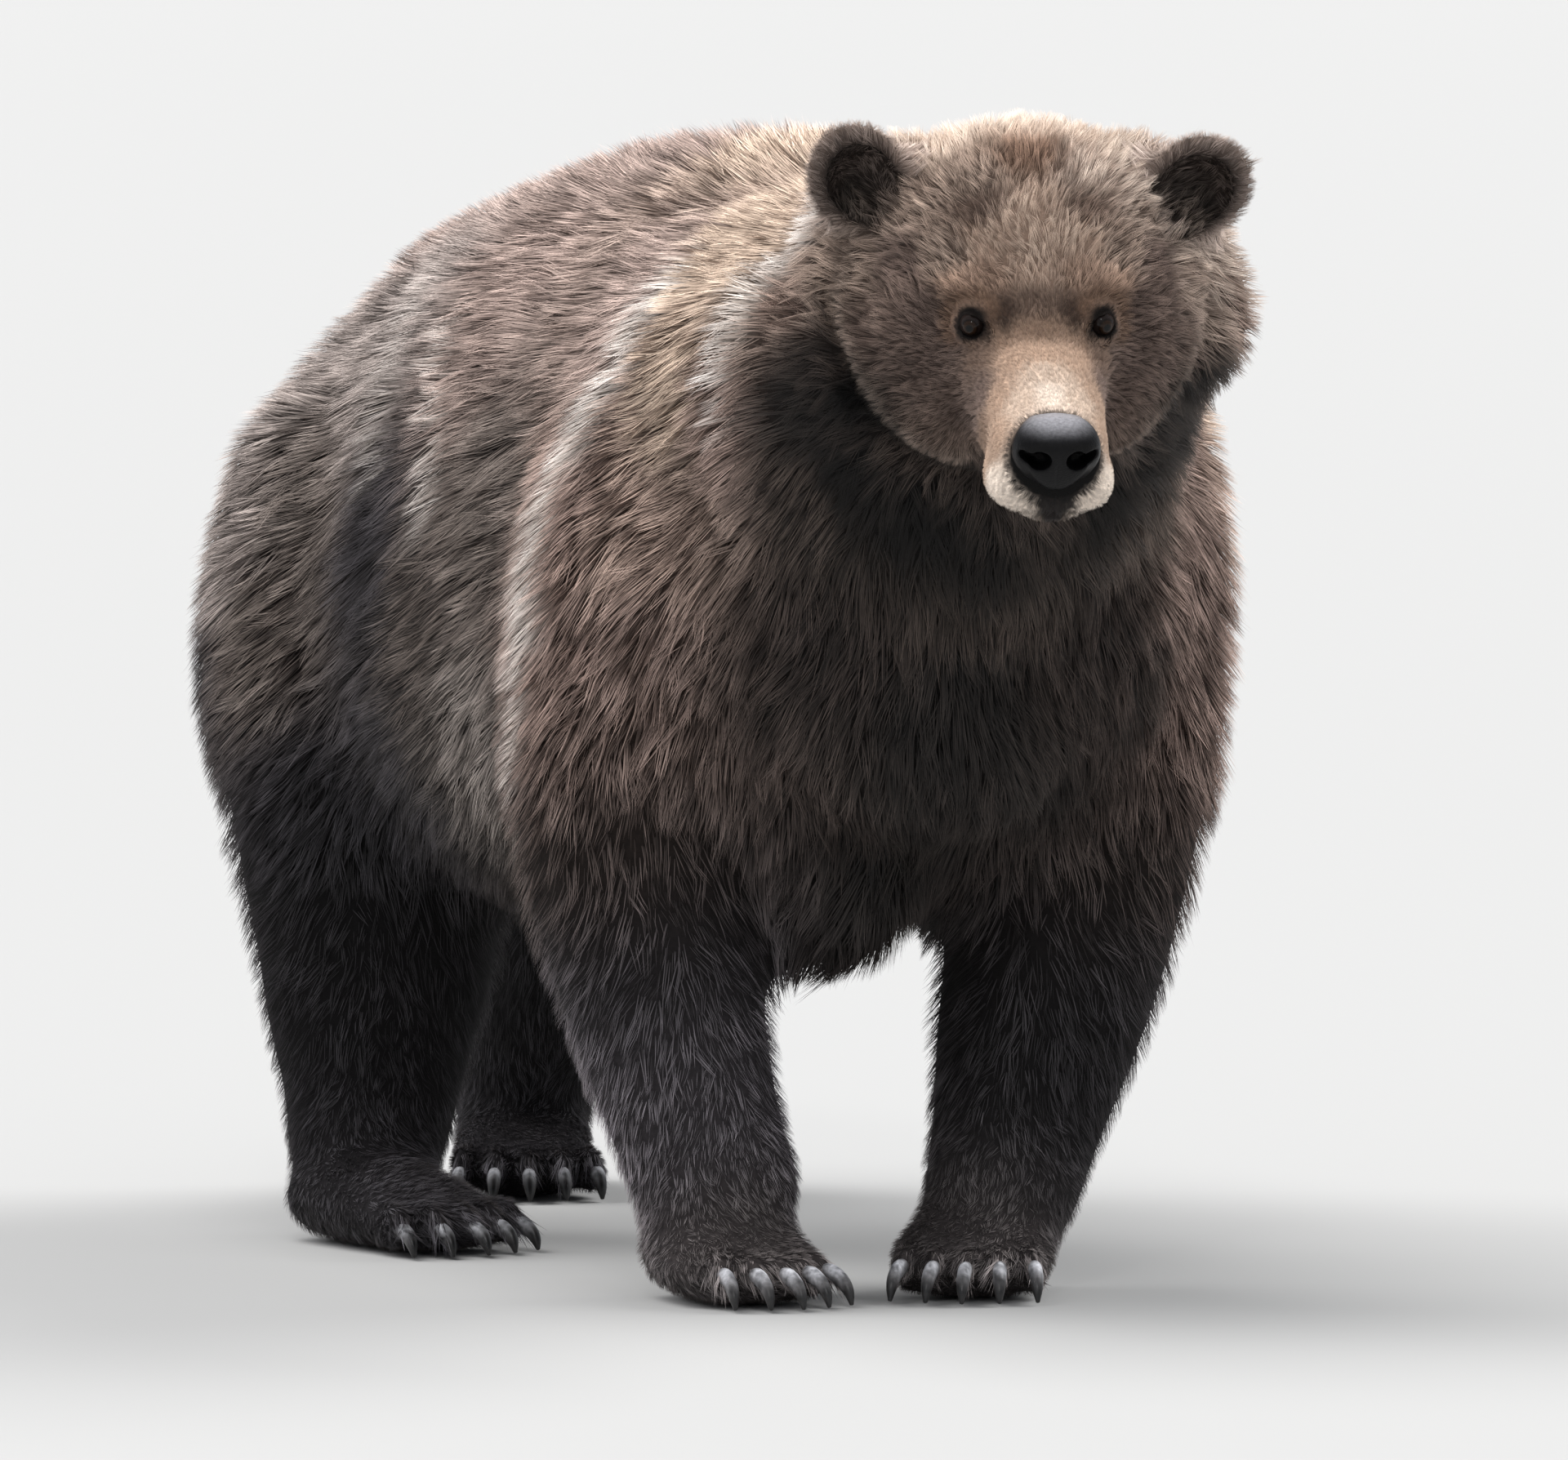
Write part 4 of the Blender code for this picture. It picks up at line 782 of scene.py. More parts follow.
    # longer pale hair along the lip's edge and under the chin
    fr = np.exp(-((h[:, 2] - mouth_z(h[:, 1]) + 0.004) / 0.010) ** 2) * smooth(ax, 0.026, 0.036) * (1 - smooth(h[:, 1], -0.13, -0.09)) * (h[:, 1] < -0.05)
    fr = np.maximum(fr, np.exp(-((h[:, 2] + 0.146) / 0.008) ** 2) * (1 - smooth(h[:, 1], -0.175, -0.13)))
    fr *= 1 - 0.9 * below
    length[:] = length * (1 - fr) + 0.0125 * fr
    depth[:] = depth * (1 - fr) + 0.0048 * fr
    tip[:] = tip * (1 - 0.6 * fr[:, None]) + np.array((0.70, 0.60, 0.50)) * 0.6 * fr[:, None]
    # the toes' hair reaches out over the claws
    near, crest = np.zeros(len(P)), np.zeros(len(P))
    for name, k, p, q, claw in toe_places():
        d = np.array((math.sin(math.radians(q)), -math.cos(math.radians(q)), 0))
        g = np.exp(-(np.linalg.norm(P - (np.array(p) + d * 0.026 + (0, 0, 0.010)), axis=1) / 0.022) ** 2)
        sel = g > near
        near = np.maximum(near, g)
        side = np.abs((P - np.array(p)) @ np.array((-d[1], d[0], 0)))
        crest = np.maximum(crest, g * np.exp(-(side / 0.012) ** 2))
        lie[sel] = lie[sel] * (1 - g[sel])[:, None] + (d * 0.95 + (0, 0, -0.30)) * g[sel][:, None]
    depth[:] = depth * (1 - near) + 0.0090 * near
    length[:] = length * (1 - near) + (0.024 + 0.015 * crest) * near
    # painted light and shade: the hair on each toe's crest is lightened, the hair between the toes darkened
    tip[:] = tip * (1 + (0.65 * crest - 0.35 * near * (1 - crest)))[:, None]
    base[:] = base * (1 + (0.4 * crest - 0.5 * near * (1 - crest)))[:, None]
    # the crease behind the face, and the tufted ridge in front of it; painted shade darkens the coat along the crease,
    # fully on the right side and less than half as much on the left
    c = near_line("crease", P)
    g = near_line("ridge", P)
    depth[:] = depth * (1 - 0.45 * c)
    length[:] = length * (1 - 0.50 * c) * (1 - 0.34 * g)
    c = (c * 0.92)[:, None]
    base[:], tip[:] = base * (1 - c), tip * (1 - c)
    g = (g * 0.60 * (1 - c[:, 0]))[:, None]
    tip[:] = tip * (1 - g) + np.array((0.66, 0.52, 0.43)) * g
    base[:] = base * (1 - 0.5 * g) + np.array((0.13, 0.092, 0.072)) * 0.5 * g
    b = near_line("band", P)[:, None]
    b = np.minimum(1, b * 1.25) * (1 - on_ear)[:, None]
    base[:] = base * (1 - 0.8 * b) + np.array((0.50, 0.43, 0.38)) * 0.8 * b
    tip[:] = tip * (1 - b) + np.array((0.98, 0.91, 0.86)) * b
    return lie, base, tip, depth, length


# ==================================================================== mouth and lids
def mouth_z(y):
    """Height of the line between the lips, from under the nose to the corner of the mouth."""
    return np.interp(y, (-0.215, -0.19, -0.15, -0.10, -0.045), (-0.119, -0.121, -0.123, -0.122, -0.116))


def lip(h):
    """How much a point of the head lies in the line of the mouth."""
    on = smooth(h[:, 1], -0.045, -0.060)
    return np.exp(-((h[:, 2] - mouth_z(h[:, 1])) / 0.0034) ** 2) * on * (np.abs(h[:, 0]) < 0.09)


def features(h):
    """Brow ridges, the hollows beside and under the eyes, and the dip above the bridge of the nose."""
    ax = np.abs(h[:, 0])

    def spot(x, y, z, a, b, c):
        return np.exp(-(((ax - x) / a) ** 2 + ((h[:, 1] - y) / b) ** 2 + ((h[:, 2] - z) / c) ** 2))

    return (0.0065 * spot(0.060, 0.005, 0.026, 0.024, 0.030, 0.010) - 0.0045 * spot(0.040, -0.018, 0.006, 0.010, 0.020, 0.012)
            - 0.0025 * spot(0.066, -0.012, -0.022, 0.018, 0.020, 0.010) - 0.003 * spot(0.0, 0.010, 0.036, 0.010, 0.030, 0.020))


def groove(V, N):
    h = to_head(V)
    return V - N * (0.0045 * lip(h))[:, None]


def lids(V):
    """Opens the skin over each eyeball and draws the lids over it."""
    R, T = HEAD_M[:3, :3], HEAD_M[:3, 3]
    h = to_head(V)
    for s in (-1, 1):
        c = np.array((EYE_AT[0] * s, EYE_AT[1], EYE_AT[2]))
        d = h - c
        r = np.linalg.norm(d, axis=1)
        out = np.array((0.50 * s, -0.86, 0.05))
        out /= np.linalg.norm(out)
        side = np.cross(out, (0, 0, 1))
        side /= np.linalg.norm(side)
        up = np.cross(side, out)
        u, v, w = d @ side, d @ up, d @ out
        near = (r < 0.032) * smooth(w, -0.013, -0.006)
        # an almond, lower at the inner corner; inner grows towards the outer one
        inner = np.sign(side @ np.array((s, 0, 0))) * u
        v = v - 0.0004 - 0.20 * inner
        rho = np.sqrt((u / 0.0120) ** 2 + (v / np.where(v > 0, 0.0066, 0.0078)) ** 2)
        lid = EYE_R + 0.0012 + 0.0012 * np.exp(-((rho - 1.15) / 0.22) ** 2)
        want = np.where(rho < 1.0, EYE_R - 0.0030, lid)
        hold = 1 - smooth(rho, 1.5, 2.3)
        new = r * (1 - hold) + want * hold
        k = near
        new = r * (1 - k) + new * k
        h = c + d * (new / np.maximum(r, 1e-9))[:, None]
    return h @ R.T + T


# ==================================================================== meshes from arrays
def mesh_from(name, V, F, uv=None, colour=None, normals=None, smooth_shade=True):
    """F is an (n, 3) array of corners; uv is given for each corner, colour and normals for each vertex."""
    m = bpy.data.meshes.new(name)
    m.vertices.add(len(V))
    m.vertices.foreach_set("co", np.ascontiguousarray(V, dtype=np.float32).ravel())
    m.loops.add(F.size)
    m.loops.foreach_set("vertex_index", np.ascontiguousarray(F, dtype=np.int32).ravel())
    m.polygons.add(len(F))
    m.polygons.foreach_set("loop_start", np.arange(0, F.size, 3, dtype=np.int32))
    m.polygons.foreach_set("use_smooth", np.full(len(F), smooth_shade))
    m.update(calc_edges=True)
    if uv is not None:
        layer = m.uv_layers.new(name="OFBake")
        layer.data.foreach_set("uv", np.ascontiguousarray(uv, dtype=np.float32).ravel())
    if colour is not None:
        a = m.color_attributes.new("Col", "FLOAT_COLOR", "POINT")
        a.data.foreach_set("color", np.column_stack([colour, np.ones(len(colour))]).astype(np.float32).ravel())
    if normals is not None:
        m.normals_split_custom_set_from_vertices(np.ascontiguousarray(normals, dtype=np.float32))
    obj = bpy.data.objects.new(name, m)
    bpy.context.scene.collection.objects.link(obj)
    return obj


def arrays(obj):
    """Vertices, triangles and vertex normals of a mesh object."""
    m = obj.data
    V = np.empty(len(m.vertices) * 3)
    m.vertices.foreach_get("co", V)
    m.calc_loop_triangles()
    F = np.empty(len(m.loop_triangles) * 3, dtype=np.int32)
    m.loop_triangles.foreach_get("vertices", F)
    V, F = V.reshape(-1, 3), F.reshape(-1, 3)
    return V, F, normals_of(V, F)


def normals_of(V, F):
    n = np.cross(V[F[:, 1]] - V[F[:, 0]], V[F[:, 2]] - V[F[:, 0]])
    N = np.zeros_like(V)
    for k in range(3):
        for a in range(3):
            N[:, a] += np.bincount(F[:, k], weights=n[:, a], minlength=len(V))
    return N / np.maximum(np.linalg.norm(N, axis=1), 1e-12)[:, None]


def evened(X, F, rounds):
    """Each vertex's value averaged with its neighbours'."""
    E = np.vstack([F[:, [0, 1]], F[:, [1, 2]], F[:, [2, 0]]])
    n = len(X)
    deg = np.bincount(E[:, 0], minlength=n) + np.bincount(E[:, 1], minlength=n)
    for _ in range(rounds):
        Y = np.zeros_like(X)
        for a in range(X.shape[1]):
            Y[:, a] = (np.bincount(E[:, 0], weights=X[E[:, 1], a], minlength=n)
                       + np.bincount(E[:, 1], weights=X[E[:, 0], a], minlength=n))
        X = 0.5 * X + 0.5 * Y / deg[:, None]
    return X


def subdivided(obj, pick):
    """Splits the faces whose middle is picked, and cuts every face into triangles."""
    bm = bmesh.new()
    bm.from_mesh(obj.data)
    mids = np.array([f.calc_center_median() for f in bm.faces])
    faces = [f for f, k in zip(bm.faces, pick(mids)) if k]
    edges = list({e for f in faces for e in f.edges})
    bmesh.ops.subdivide_edges(bm, edges=edges, cuts=1, use_grid_fill=True)
    bmesh.ops.triangulate(bm, faces=bm.faces)
    bm.to_mesh(obj.data)
    bm.free()
    return obj


# ==================================================================== the skin
def make_skin():
    obj = bear(SKIN_VOXEL, 4)
    m = obj.data
    bm = bmesh.new()
    bm.from_mesh(m)
    bmesh.ops.triangulate(bm, faces=bm.faces)
    bm.to_mesh(m)
    bm.free()
    co = np.empty(len(m.vertices) * 3)
    m.vertices.foreach_get("co", co)
    h = to_head(co.reshape(-1, 3))
    face = (np.linalg.norm(h - (0, 0.02, -0.02), axis=1) < 0.27) & (h[:, 1] < 0.19)
    g = obj.vertex_groups.new(name="coarse")
    g.add([int(i) for i in np.nonzero(~face)[0]], 1.0, "REPLACE")
    g.add([int(i) for i in np.nonzero(face)[0]], 0.0, "REPLACE")
    d = obj.modifiers.new("thin", "DECIMATE")
    d.ratio = SKIN_TRIS / len(m.polygons)
    d.vertex_group = "coarse"
    settle(obj)
    obj.vertex_groups.clear()
    print("skin base", len(obj.data.polygons), flush=True)

    def by_eyes(c):
        q = to_head(c)
        e = np.sqrt((np.abs(q[:, 0]) - EYE_AT[0]) ** 2 + (q[:, 1] - EYE_AT[1]) ** 2 + (q[:, 2] - EYE_AT[2]) ** 2)
        return e < 0.034

    def by_mouth(c):
        q = to_head(c)
        return (q[:, 1] < -0.035) & (np.abs(q[:, 2] - mouth_z(q[:, 1])) < 0.014)

    subdivided(obj, lambda c: by_eyes(c) | by_mouth(c))
    subdivided(obj, by_eyes)
    V, F, N = arrays(obj)
    lay_lines(BVHTree.FromPolygons([tuple(v) for v in V.tolist()], [tuple(f) for f in F.tolist()]))
    N = evened(N, F, 6)
    N /= np.linalg.norm(N, axis=1)[:, None]
    depth = field(V)[3]
    W = V - N * depth[:, None]
    W += N * (0.010 * near_line("ridge", V) - 0.024 * near_line("crease", V) - 0.006 * near_line("band", V))[:, None]
    W += N * features(to_head(V))[:, None]
    W = W * 0.5 + evened(W, F, 2) * 0.5
    W = groove(W, normals_of(W, F))
    W = lids(W)
    W[:, 2] = np.maximum(W[:, 2], 0.0012)
    bpy.data.objects.remove(obj)
    lay_lines(BVHTree.FromPolygons([tuple(v) for v in W.tolist()], [tuple(f) for f in F.tolist()]))
    return W, F


SKIN_VOXEL, SKIN_TRIS = 0.0052, 140000

def unwrap(obj):
    """The skin's own unwrap, kept as OFBake; returns it for each corner of each triangle."""
    for o in bpy.context.selected_objects:
        o.select_set(False)
    bpy.context.view_layer.objects.active = obj
    obj.select_set(True)
    bpy.ops.object.mode_set(mode="EDIT")
    bpy.ops.mesh.select_all(action="SELECT")
    bpy.ops.uv.smart_project(angle_limit=math.radians(66), island_margin=0.001)
    bpy.ops.object.mode_set(mode="OBJECT")
    obj.select_set(False)
    obj.data.uv_layers[0].name = "OFBake"
    uv = np.empty(len(obj.data.loops) * 2)
    obj.data.uv_layers[0].data.foreach_get("uv", uv)
    return uv.reshape(-1, 3, 2)


# ==================================================================== the coat
def lengthwise(P, N, lie, turn):
    T = lie - N * (lie * N).sum(1)[:, None]
    T /= np.maximum(np.linalg.norm(T, axis=1), 1e-9)[:, None]
    B = np.cross(N, T)
    return T * np.cos(turn)[:, None] + B * np.sin(turn)[:, None]


def roots(V, F, UV, N, number, weight, seed):
    """Points strewn over the skin, with their normals and places on its unwrap."""
    rng = np.random.default_rng(seed)
    area = np.linalg.norm(np.cross(V[F[:, 1]] - V[F[:, 0]], V[F[:, 2]] - V[F[:, 0]]), axis=1) / 2
    p = area * weight
    f = rng.choice(len(F), size=number, p=p / p.sum())
    a, b = rng.random(number), rng.random(number)
    flip = a + b > 1
    a[flip], b[flip] = 1 - a[flip], 1 - b[flip]
    w = np.column_stack([1 - a - b, a, b])[:, :, None]
    P = (V[F[f]] * w).sum(1)
    n = (N[F[f]] * w).sum(1)
    n /= np.linalg.norm(n, axis=1)[:, None]
    return P, n, (UV[f] * w).sum(1), rng


def tufts(P, N, UV, rng, bvh, per_clump, bent, width, lift, gathered, swirl, varied):
    """Hairs as thin closed blades, gathered in locks. Returns vertices, triangles, corner UVs,
    colours and normals; every hair has the same number of each."""
    n = len(P)
    lie, base, tip, depth, length = field(P)
    # locks
    k = max(1, n // per_clump)
    chosen = rng.choice(n, size=k, replace=False)
    tree = KDTree(k)
    for i, j in enumerate(chosen):
        tree.insert(P[j], i)
    tree.balance()
    lock = np.array([tree.find(p)[1] for p in P.tolist()])
    lead = chosen[lock]
    az = 0.26 * waves(P, 0.30, 11) + 0.22 * waves(P, 0.075, 12)
    az = az + rng.normal(0, swirl, k)[lock] + rng.normal(0, 0.10, n)
    size = length * (1 + 0.16 * waves(P, 0.11, 13)) * np.clip(rng.normal(1, 0.15, k), 0.6, 1.35)[lock] * rng.uniform(0.72, 1.12, n)
    rise = np.clip(0.95 + 0.10 * waves(P, 0.06, 14) + rng.normal(0, 0.09, k)[lock] + rng.normal(0, 0.06, n), 0.5, 1.14)
    stray = rng.random(n) < 0.05
    rise = np.where(stray, np.clip(rise * 1.35, 1.0, 1.28), rise)
    T = lengthwise(P, N, lie, az)
    top = np.minimum(depth * rise, size * lift)
    reach = np.sqrt(np.maximum(size ** 2 - top ** 2, 1e-8))
    end = P + T * reach[:, None] + N * top[:, None]
    # each tip lies its own height over the skin beneath it
    snapped = np.empty_like(end)
    for i, p in enumerate(end.tolist()):
        q, m, _, dist = bvh.find_nearest(p)
        snapped[i] = (q.x + m.x * top[i], q.y + m.y * top[i], q.z + m.z * top[i])
    far = np.linalg.norm(snapped - end, axis=1) > 0.5 * size
    over = np.zeros(n)          # the hair on top of each toe runs out over its claw
    for _, _, p, q, _ in toe_places():
        d = np.array((math.sin(math.radians(q)), -math.cos(math.radians(q)), 0))
        over = np.maximum(over, np.exp(-(np.linalg.norm(P - (np.array(p) + d * 0.026 + (0, 0, 0.016)), axis=1) / 0.016) ** 2))
    out_over = end - over[:, None] * np.array((0, 0, 0.018))
    end = np.where((far | (over > 0.35))[:, None], out_over, snapped)
    mid = P + T * (0.40 * reach)[:, None] + N * (top * 0.66)[:, None]
    gather = np.clip(rng.normal(gathered, 0.14, k), 0.10, 0.80)[lock][:, None] * np.where(stray, 0.2, 1.0)[:, None]
    end = end * (1 - gather) + gather * (end[lead] + 0.22 * (P - P[lead]))
    mid = mid * (1 - gather * 0.5) + gather * 0.5 * (mid[lead] + 0.7 * (P - P[lead]))
    end[:, 2] = np.maximum(end[:, 2], 0.0012)
    mid[:, 2] = np.maximum(mid[:, 2], 0.0015)
    D = end - P
    D /= np.maximum(np.linalg.norm(D, axis=1), 1e-9)[:, None]
    S = np.cross(D, N)
    S /= np.maximum(np.linalg.norm(S, axis=1), 1e-9)[:, None]
    U = np.cross(S, D)
    W = (width(size) * rng.uniform(0.7, 1.2, n) * np.where(stray, 0.55, 1.0))[:, None]
    mid = mid + S * (rng.normal(0, 0.09, k)[lock] + rng.normal(0, 0.03, n))[:, None] * size[:, None]
    root = P - N * 0.0008
    # colours: dark at the root, partly the hair's own colour and partly painted shade deep in the coat, the under
    # colour along the hair, a paler tip on most
    calm = 0.35 + 0.65 * smooth(length, 0.008, 0.020)      # the shortest hair is the most even
    tone = np.exp((rng.normal(0, 0.13, k)[lock] + rng.normal(0, 0.14, n) + 0.14 * waves(P, 0.16, 15)) * calm)[:, None]
    pale = np.clip(0.56 + (0.30 * waves(P, 0.045, 16) + rng.normal(0, 0.20, k)[lock] + rng.normal(0, varied, n)) * calm, 0, 1.5)[:, None]
    root_dark_and_shade, cm, ct = base * 0.30 * tone, (base * (0.85 - 0.15 * pale) + tip * 0.15 * pale) * tone, (base * (1 - pale) + tip * pale) * tone
    if bent:
        verts = np.stack([root, mid + S * W / 2, mid - S * W / 2, mid + U * W * 0.42, end], 1)
        cols = np.stack([root_dark_and_shade, cm, cm, cm, ct], 1)
        norms = np.stack([N, N * 0.75 + S * 0.6, N * 0.75 - S * 0.6, U, N], 1)
        faces = np.array([(1, 2, 4), (2, 3, 4), (3, 1, 4), (2, 1, 0), (3, 2, 0), (1, 3, 0)])
        patch = np.array([(0, -1), (1, 0), (-1, 0), (0, 0.3), (0, 1)]) * 0.0015
    else:
        verts = np.stack([root + S * W / 2, root - S * W / 2, root + U * W * 0.45, end], 1)
        # painted shade as above: the root corners are darker
        cols = np.stack([cm * 0.62, cm * 0.62, cm * 0.75, ct], 1)
        norms = np.stack([N * 0.75 + S * 0.6, N * 0.75 - S * 0.6, U, N], 1)
        faces = np.array([(0, 1, 3), (1, 2, 3), (2, 0, 3), (0, 2, 1)])
        patch = np.array([(1, -1), (-1, -1), (0, -0.5), (0, 1)]) * 0.0015
    norms = norms / np.linalg.norm(norms, axis=2)[:, :, None]
    uv = np.clip(UV[:, None, :] + patch[None], 0.0005, 0.9995)
    return verts, faces, uv, cols, norms


def coat_pieces(name, blades, limit, order, material):
    """Blades in the given order, cut into pieces of under the limit of triangles."""
    verts, faces, uv, cols, norms = blades
    idx = np.argsort(order, kind="stable")
    per = limit // len(faces)
    parts = int(math.ceil(len(idx) / per))
    out = []
    for j, chunk in enumerate(np.array_split(idx, parts)):
        nv = verts.shape[1]
        F = (faces[None] + (np.arange(len(chunk)) * nv)[:, None, None]).reshape(-1, 3)
        obj = mesh_from("%s_%d" % (name, j + 1), (verts[chunk] + SHIFT).reshape(-1, 3), F,
                        uv=uv[chunk].reshape(-1, 2)[F.ravel()], colour=cols[chunk].reshape(-1, 3),
                        normals=norms[chunk].reshape(-1, 3))
        obj.data.materials.append(material)
        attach(obj, "root")
        out.append(obj)
    return out


# ==================================================================== materials
def new_material(name, roughness, specular=0.5):
    m = bpy.data.materials.new(name)
    m.use_nodes = True
    n = m.node_tree
    s = n.nodes["Principled BSDF"]
    s.inputs["Roughness"].default_value = roughness
    s.inputs["Specular IOR Level"].default_value = specular
    return m, n, s


def tinted(n, s, scale, low, high, detail=3.0):
    """Base colour from the piece's own colours, varied by a fine procedural pattern."""
    a = n.nodes.new("ShaderNodeAttribute")
    a.attribute_name = "Col"
    tex = n.nodes.new("ShaderNodeTexNoise")
    tex.inputs["Scale"].default_value = scale
    tex.inputs["Detail"].default_value = detail
    co = n.nodes.new("ShaderNodeTexCoord")
    n.links.new(co.outputs["Object"], tex.inputs["Vector"])
    r = n.nodes.new("ShaderNodeMapRange")
    r.inputs["From Min"].default_value, r.inputs["From Max"].default_value = 0.3, 0.7
    r.inputs["To Min"].default_value, r.inputs["To Max"].default_value = low, high
    n.links.new(tex.outputs["Fac"], r.inputs["Value"])
    mix = n.nodes.new("ShaderNodeMix")
    mix.data_type, mix.blend_type = "RGBA", "MULTIPLY"
    mix.inputs["Factor"].default_value = 1.0
    comb = n.nodes.new("ShaderNodeCombineColor")
    for k in range(3):
        n.links.new(r.outputs["Result"], comb.inputs[k])
    n.links.new(a.outputs["Color"], mix.inputs["A"])
    n.links.new(comb.outputs["Color"], mix.inputs["B"])
    n.links.new(mix.outputs["Result"], s.inputs["Base Color"])
    return co


def bumped(n, s, height, strength, distance):
    b = n.nodes.new("ShaderNodeBump")
    b.inputs["Strength"].default_value = strength
    b.inputs["Distance"].default_value = distance
    n.links.new(height, b.inputs["Height"])
    n.links.new(b.outputs["Normal"], s.inputs["Normal"])


def coat_material():
    m, n, s = new_material("coat_hair", 0.55, 0.22)
    tinted(n, s, 22.0, 0.86, 1.14)
    s.inputs["Sheen Weight"].default_value = 0.05
    s.inputs["Sheen Roughness"].default_value = 0.4
    s.inputs["Sheen Tint"].default_value = (1.0, 0.85, 0.72, 1.0)
    return m


def skin_material():
    m, n, s = new_material("skin_underfur", 0.8, 0.15)
    co = tinted(n, s, 160.0, 0.75, 1.2)
    tex = n.nodes.new("ShaderNodeTexNoise")
    tex.inputs["Scale"].default_value = 520.0
    tex.inputs["Detail"].default_value = 4.0
    n.links.new(co.outputs["Object"], tex.inputs["Vector"])
    bumped(n, s, tex.outputs["Fac"], 0.5, 0.0012)
    return m


def nose_material():
    m, n, s = new_material("nose_leather", 0.40, 0.10)
    co = tinted(n, s, 300.0, 0.8, 1.25)
    v = n.nodes.new("ShaderNodeTexVoronoi")
    v.inputs["Scale"].default_value = 620.0
    n.links.new(co.outputs["Object"], v.inputs["Vector"])
    bumped(n, s, v.outputs["Distance"], 0.55, 0.0005)
    s.inputs["Coat Weight"].default_value = 0.06
    s.inputs["Coat Roughness"].default_value = 0.22
    return m


def horn_material():
    m, n, s = new_material("claw_horn", 0.36, 0.5)
    co = tinted(n, s, 240.0, 0.72, 1.22)
    tex = n.nodes.new("ShaderNodeTexNoise")
    tex.inputs["Scale"].default_value = 700.0
    n.links.new(co.outputs["Object"], tex.inputs["Vector"])
    bumped(n, s, tex.outputs["Fac"], 0.3, 0.0003)
    return m


def eye_material():
    m, n, s = new_material("eye_wet", 0.35, 0.05)
    tinted(n, s, 900.0, 0.7, 1.3)
    s.inputs["Coat Weight"].default_value = 0.30
    s.inputs["Coat Roughness"].default_value = 0.03
    return m


# ==================================================================== eyes, nose, claws
def make_eye(side, material):
    s = 1 if side == "left" else -1
    R, T = HEAD_M[:3, :3], HEAD_M[:3, 3]
    centre = T + R @ np.array((EYE_AT[0] * s, EYE_AT[1], EYE_AT[2]))
    gaze = R @ np.array((0.36 * s, -0.93, 0.02))
    gaze /= np.linalg.norm(gaze)
    bm = bmesh.new()
    bmesh.ops.create_uvsphere(bm, u_segments=56, v_segments=40, radius=EYE_R,
                              matrix=Vector(gaze).to_track_quat("Z", "Y").to_matrix().to_4x4())
    bmesh.ops.triangulate(bm, faces=bm.faces)
    tmp = to_object(bm, "tmp")
    V, F, N = arrays(tmp)
    bpy.data.objects.remove(tmp)
    d = V / np.linalg.norm(V, axis=1)[:, None]
    ang = np.degrees(np.arccos(np.clip(d @ gaze, -1, 1)))
    V = d * (EYE_R * (1 + 0.055 * (1 - smooth(ang, 20, 44))))[:, None]
    side_v = np.cross(gaze, (0, 0, 1))
    side_v /= np.linalg.norm(side_v)
    phi = np.arctan2(d @ np.cross(side_v, gaze), d @ side_v)
    streak = 1 + 0.3 * np.sin(phi * 23) * np.sin(phi * 7 + 1)
    iris = np.array((0.0165, 0.0085, 0.0050)) * streak[:, None]
    white = np.array((0.012, 0.008, 0.007)) * np.ones((len(V), 1))
    pupil = np.array((0.003, 0.003, 0.003)) * np.ones((len(V), 1))
    a = smooth(ang, 15, 18)[:, None]
    b = smooth(ang, 36, 41)[:, None]
    ring = (np.exp(-((ang - 38) / 4.0) ** 2) * 0.8)[:, None]
    col = (pupil * (1 - a) + iris * a) * (1 - b) + white * b
    col = col * (1 - ring)
    obj = mesh_from("eyeball_" + side, V + centre + SHIFT, F, colour=col)
    obj.data.materials.append(material)
    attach(obj, "root")
    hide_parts("eye_" + side)


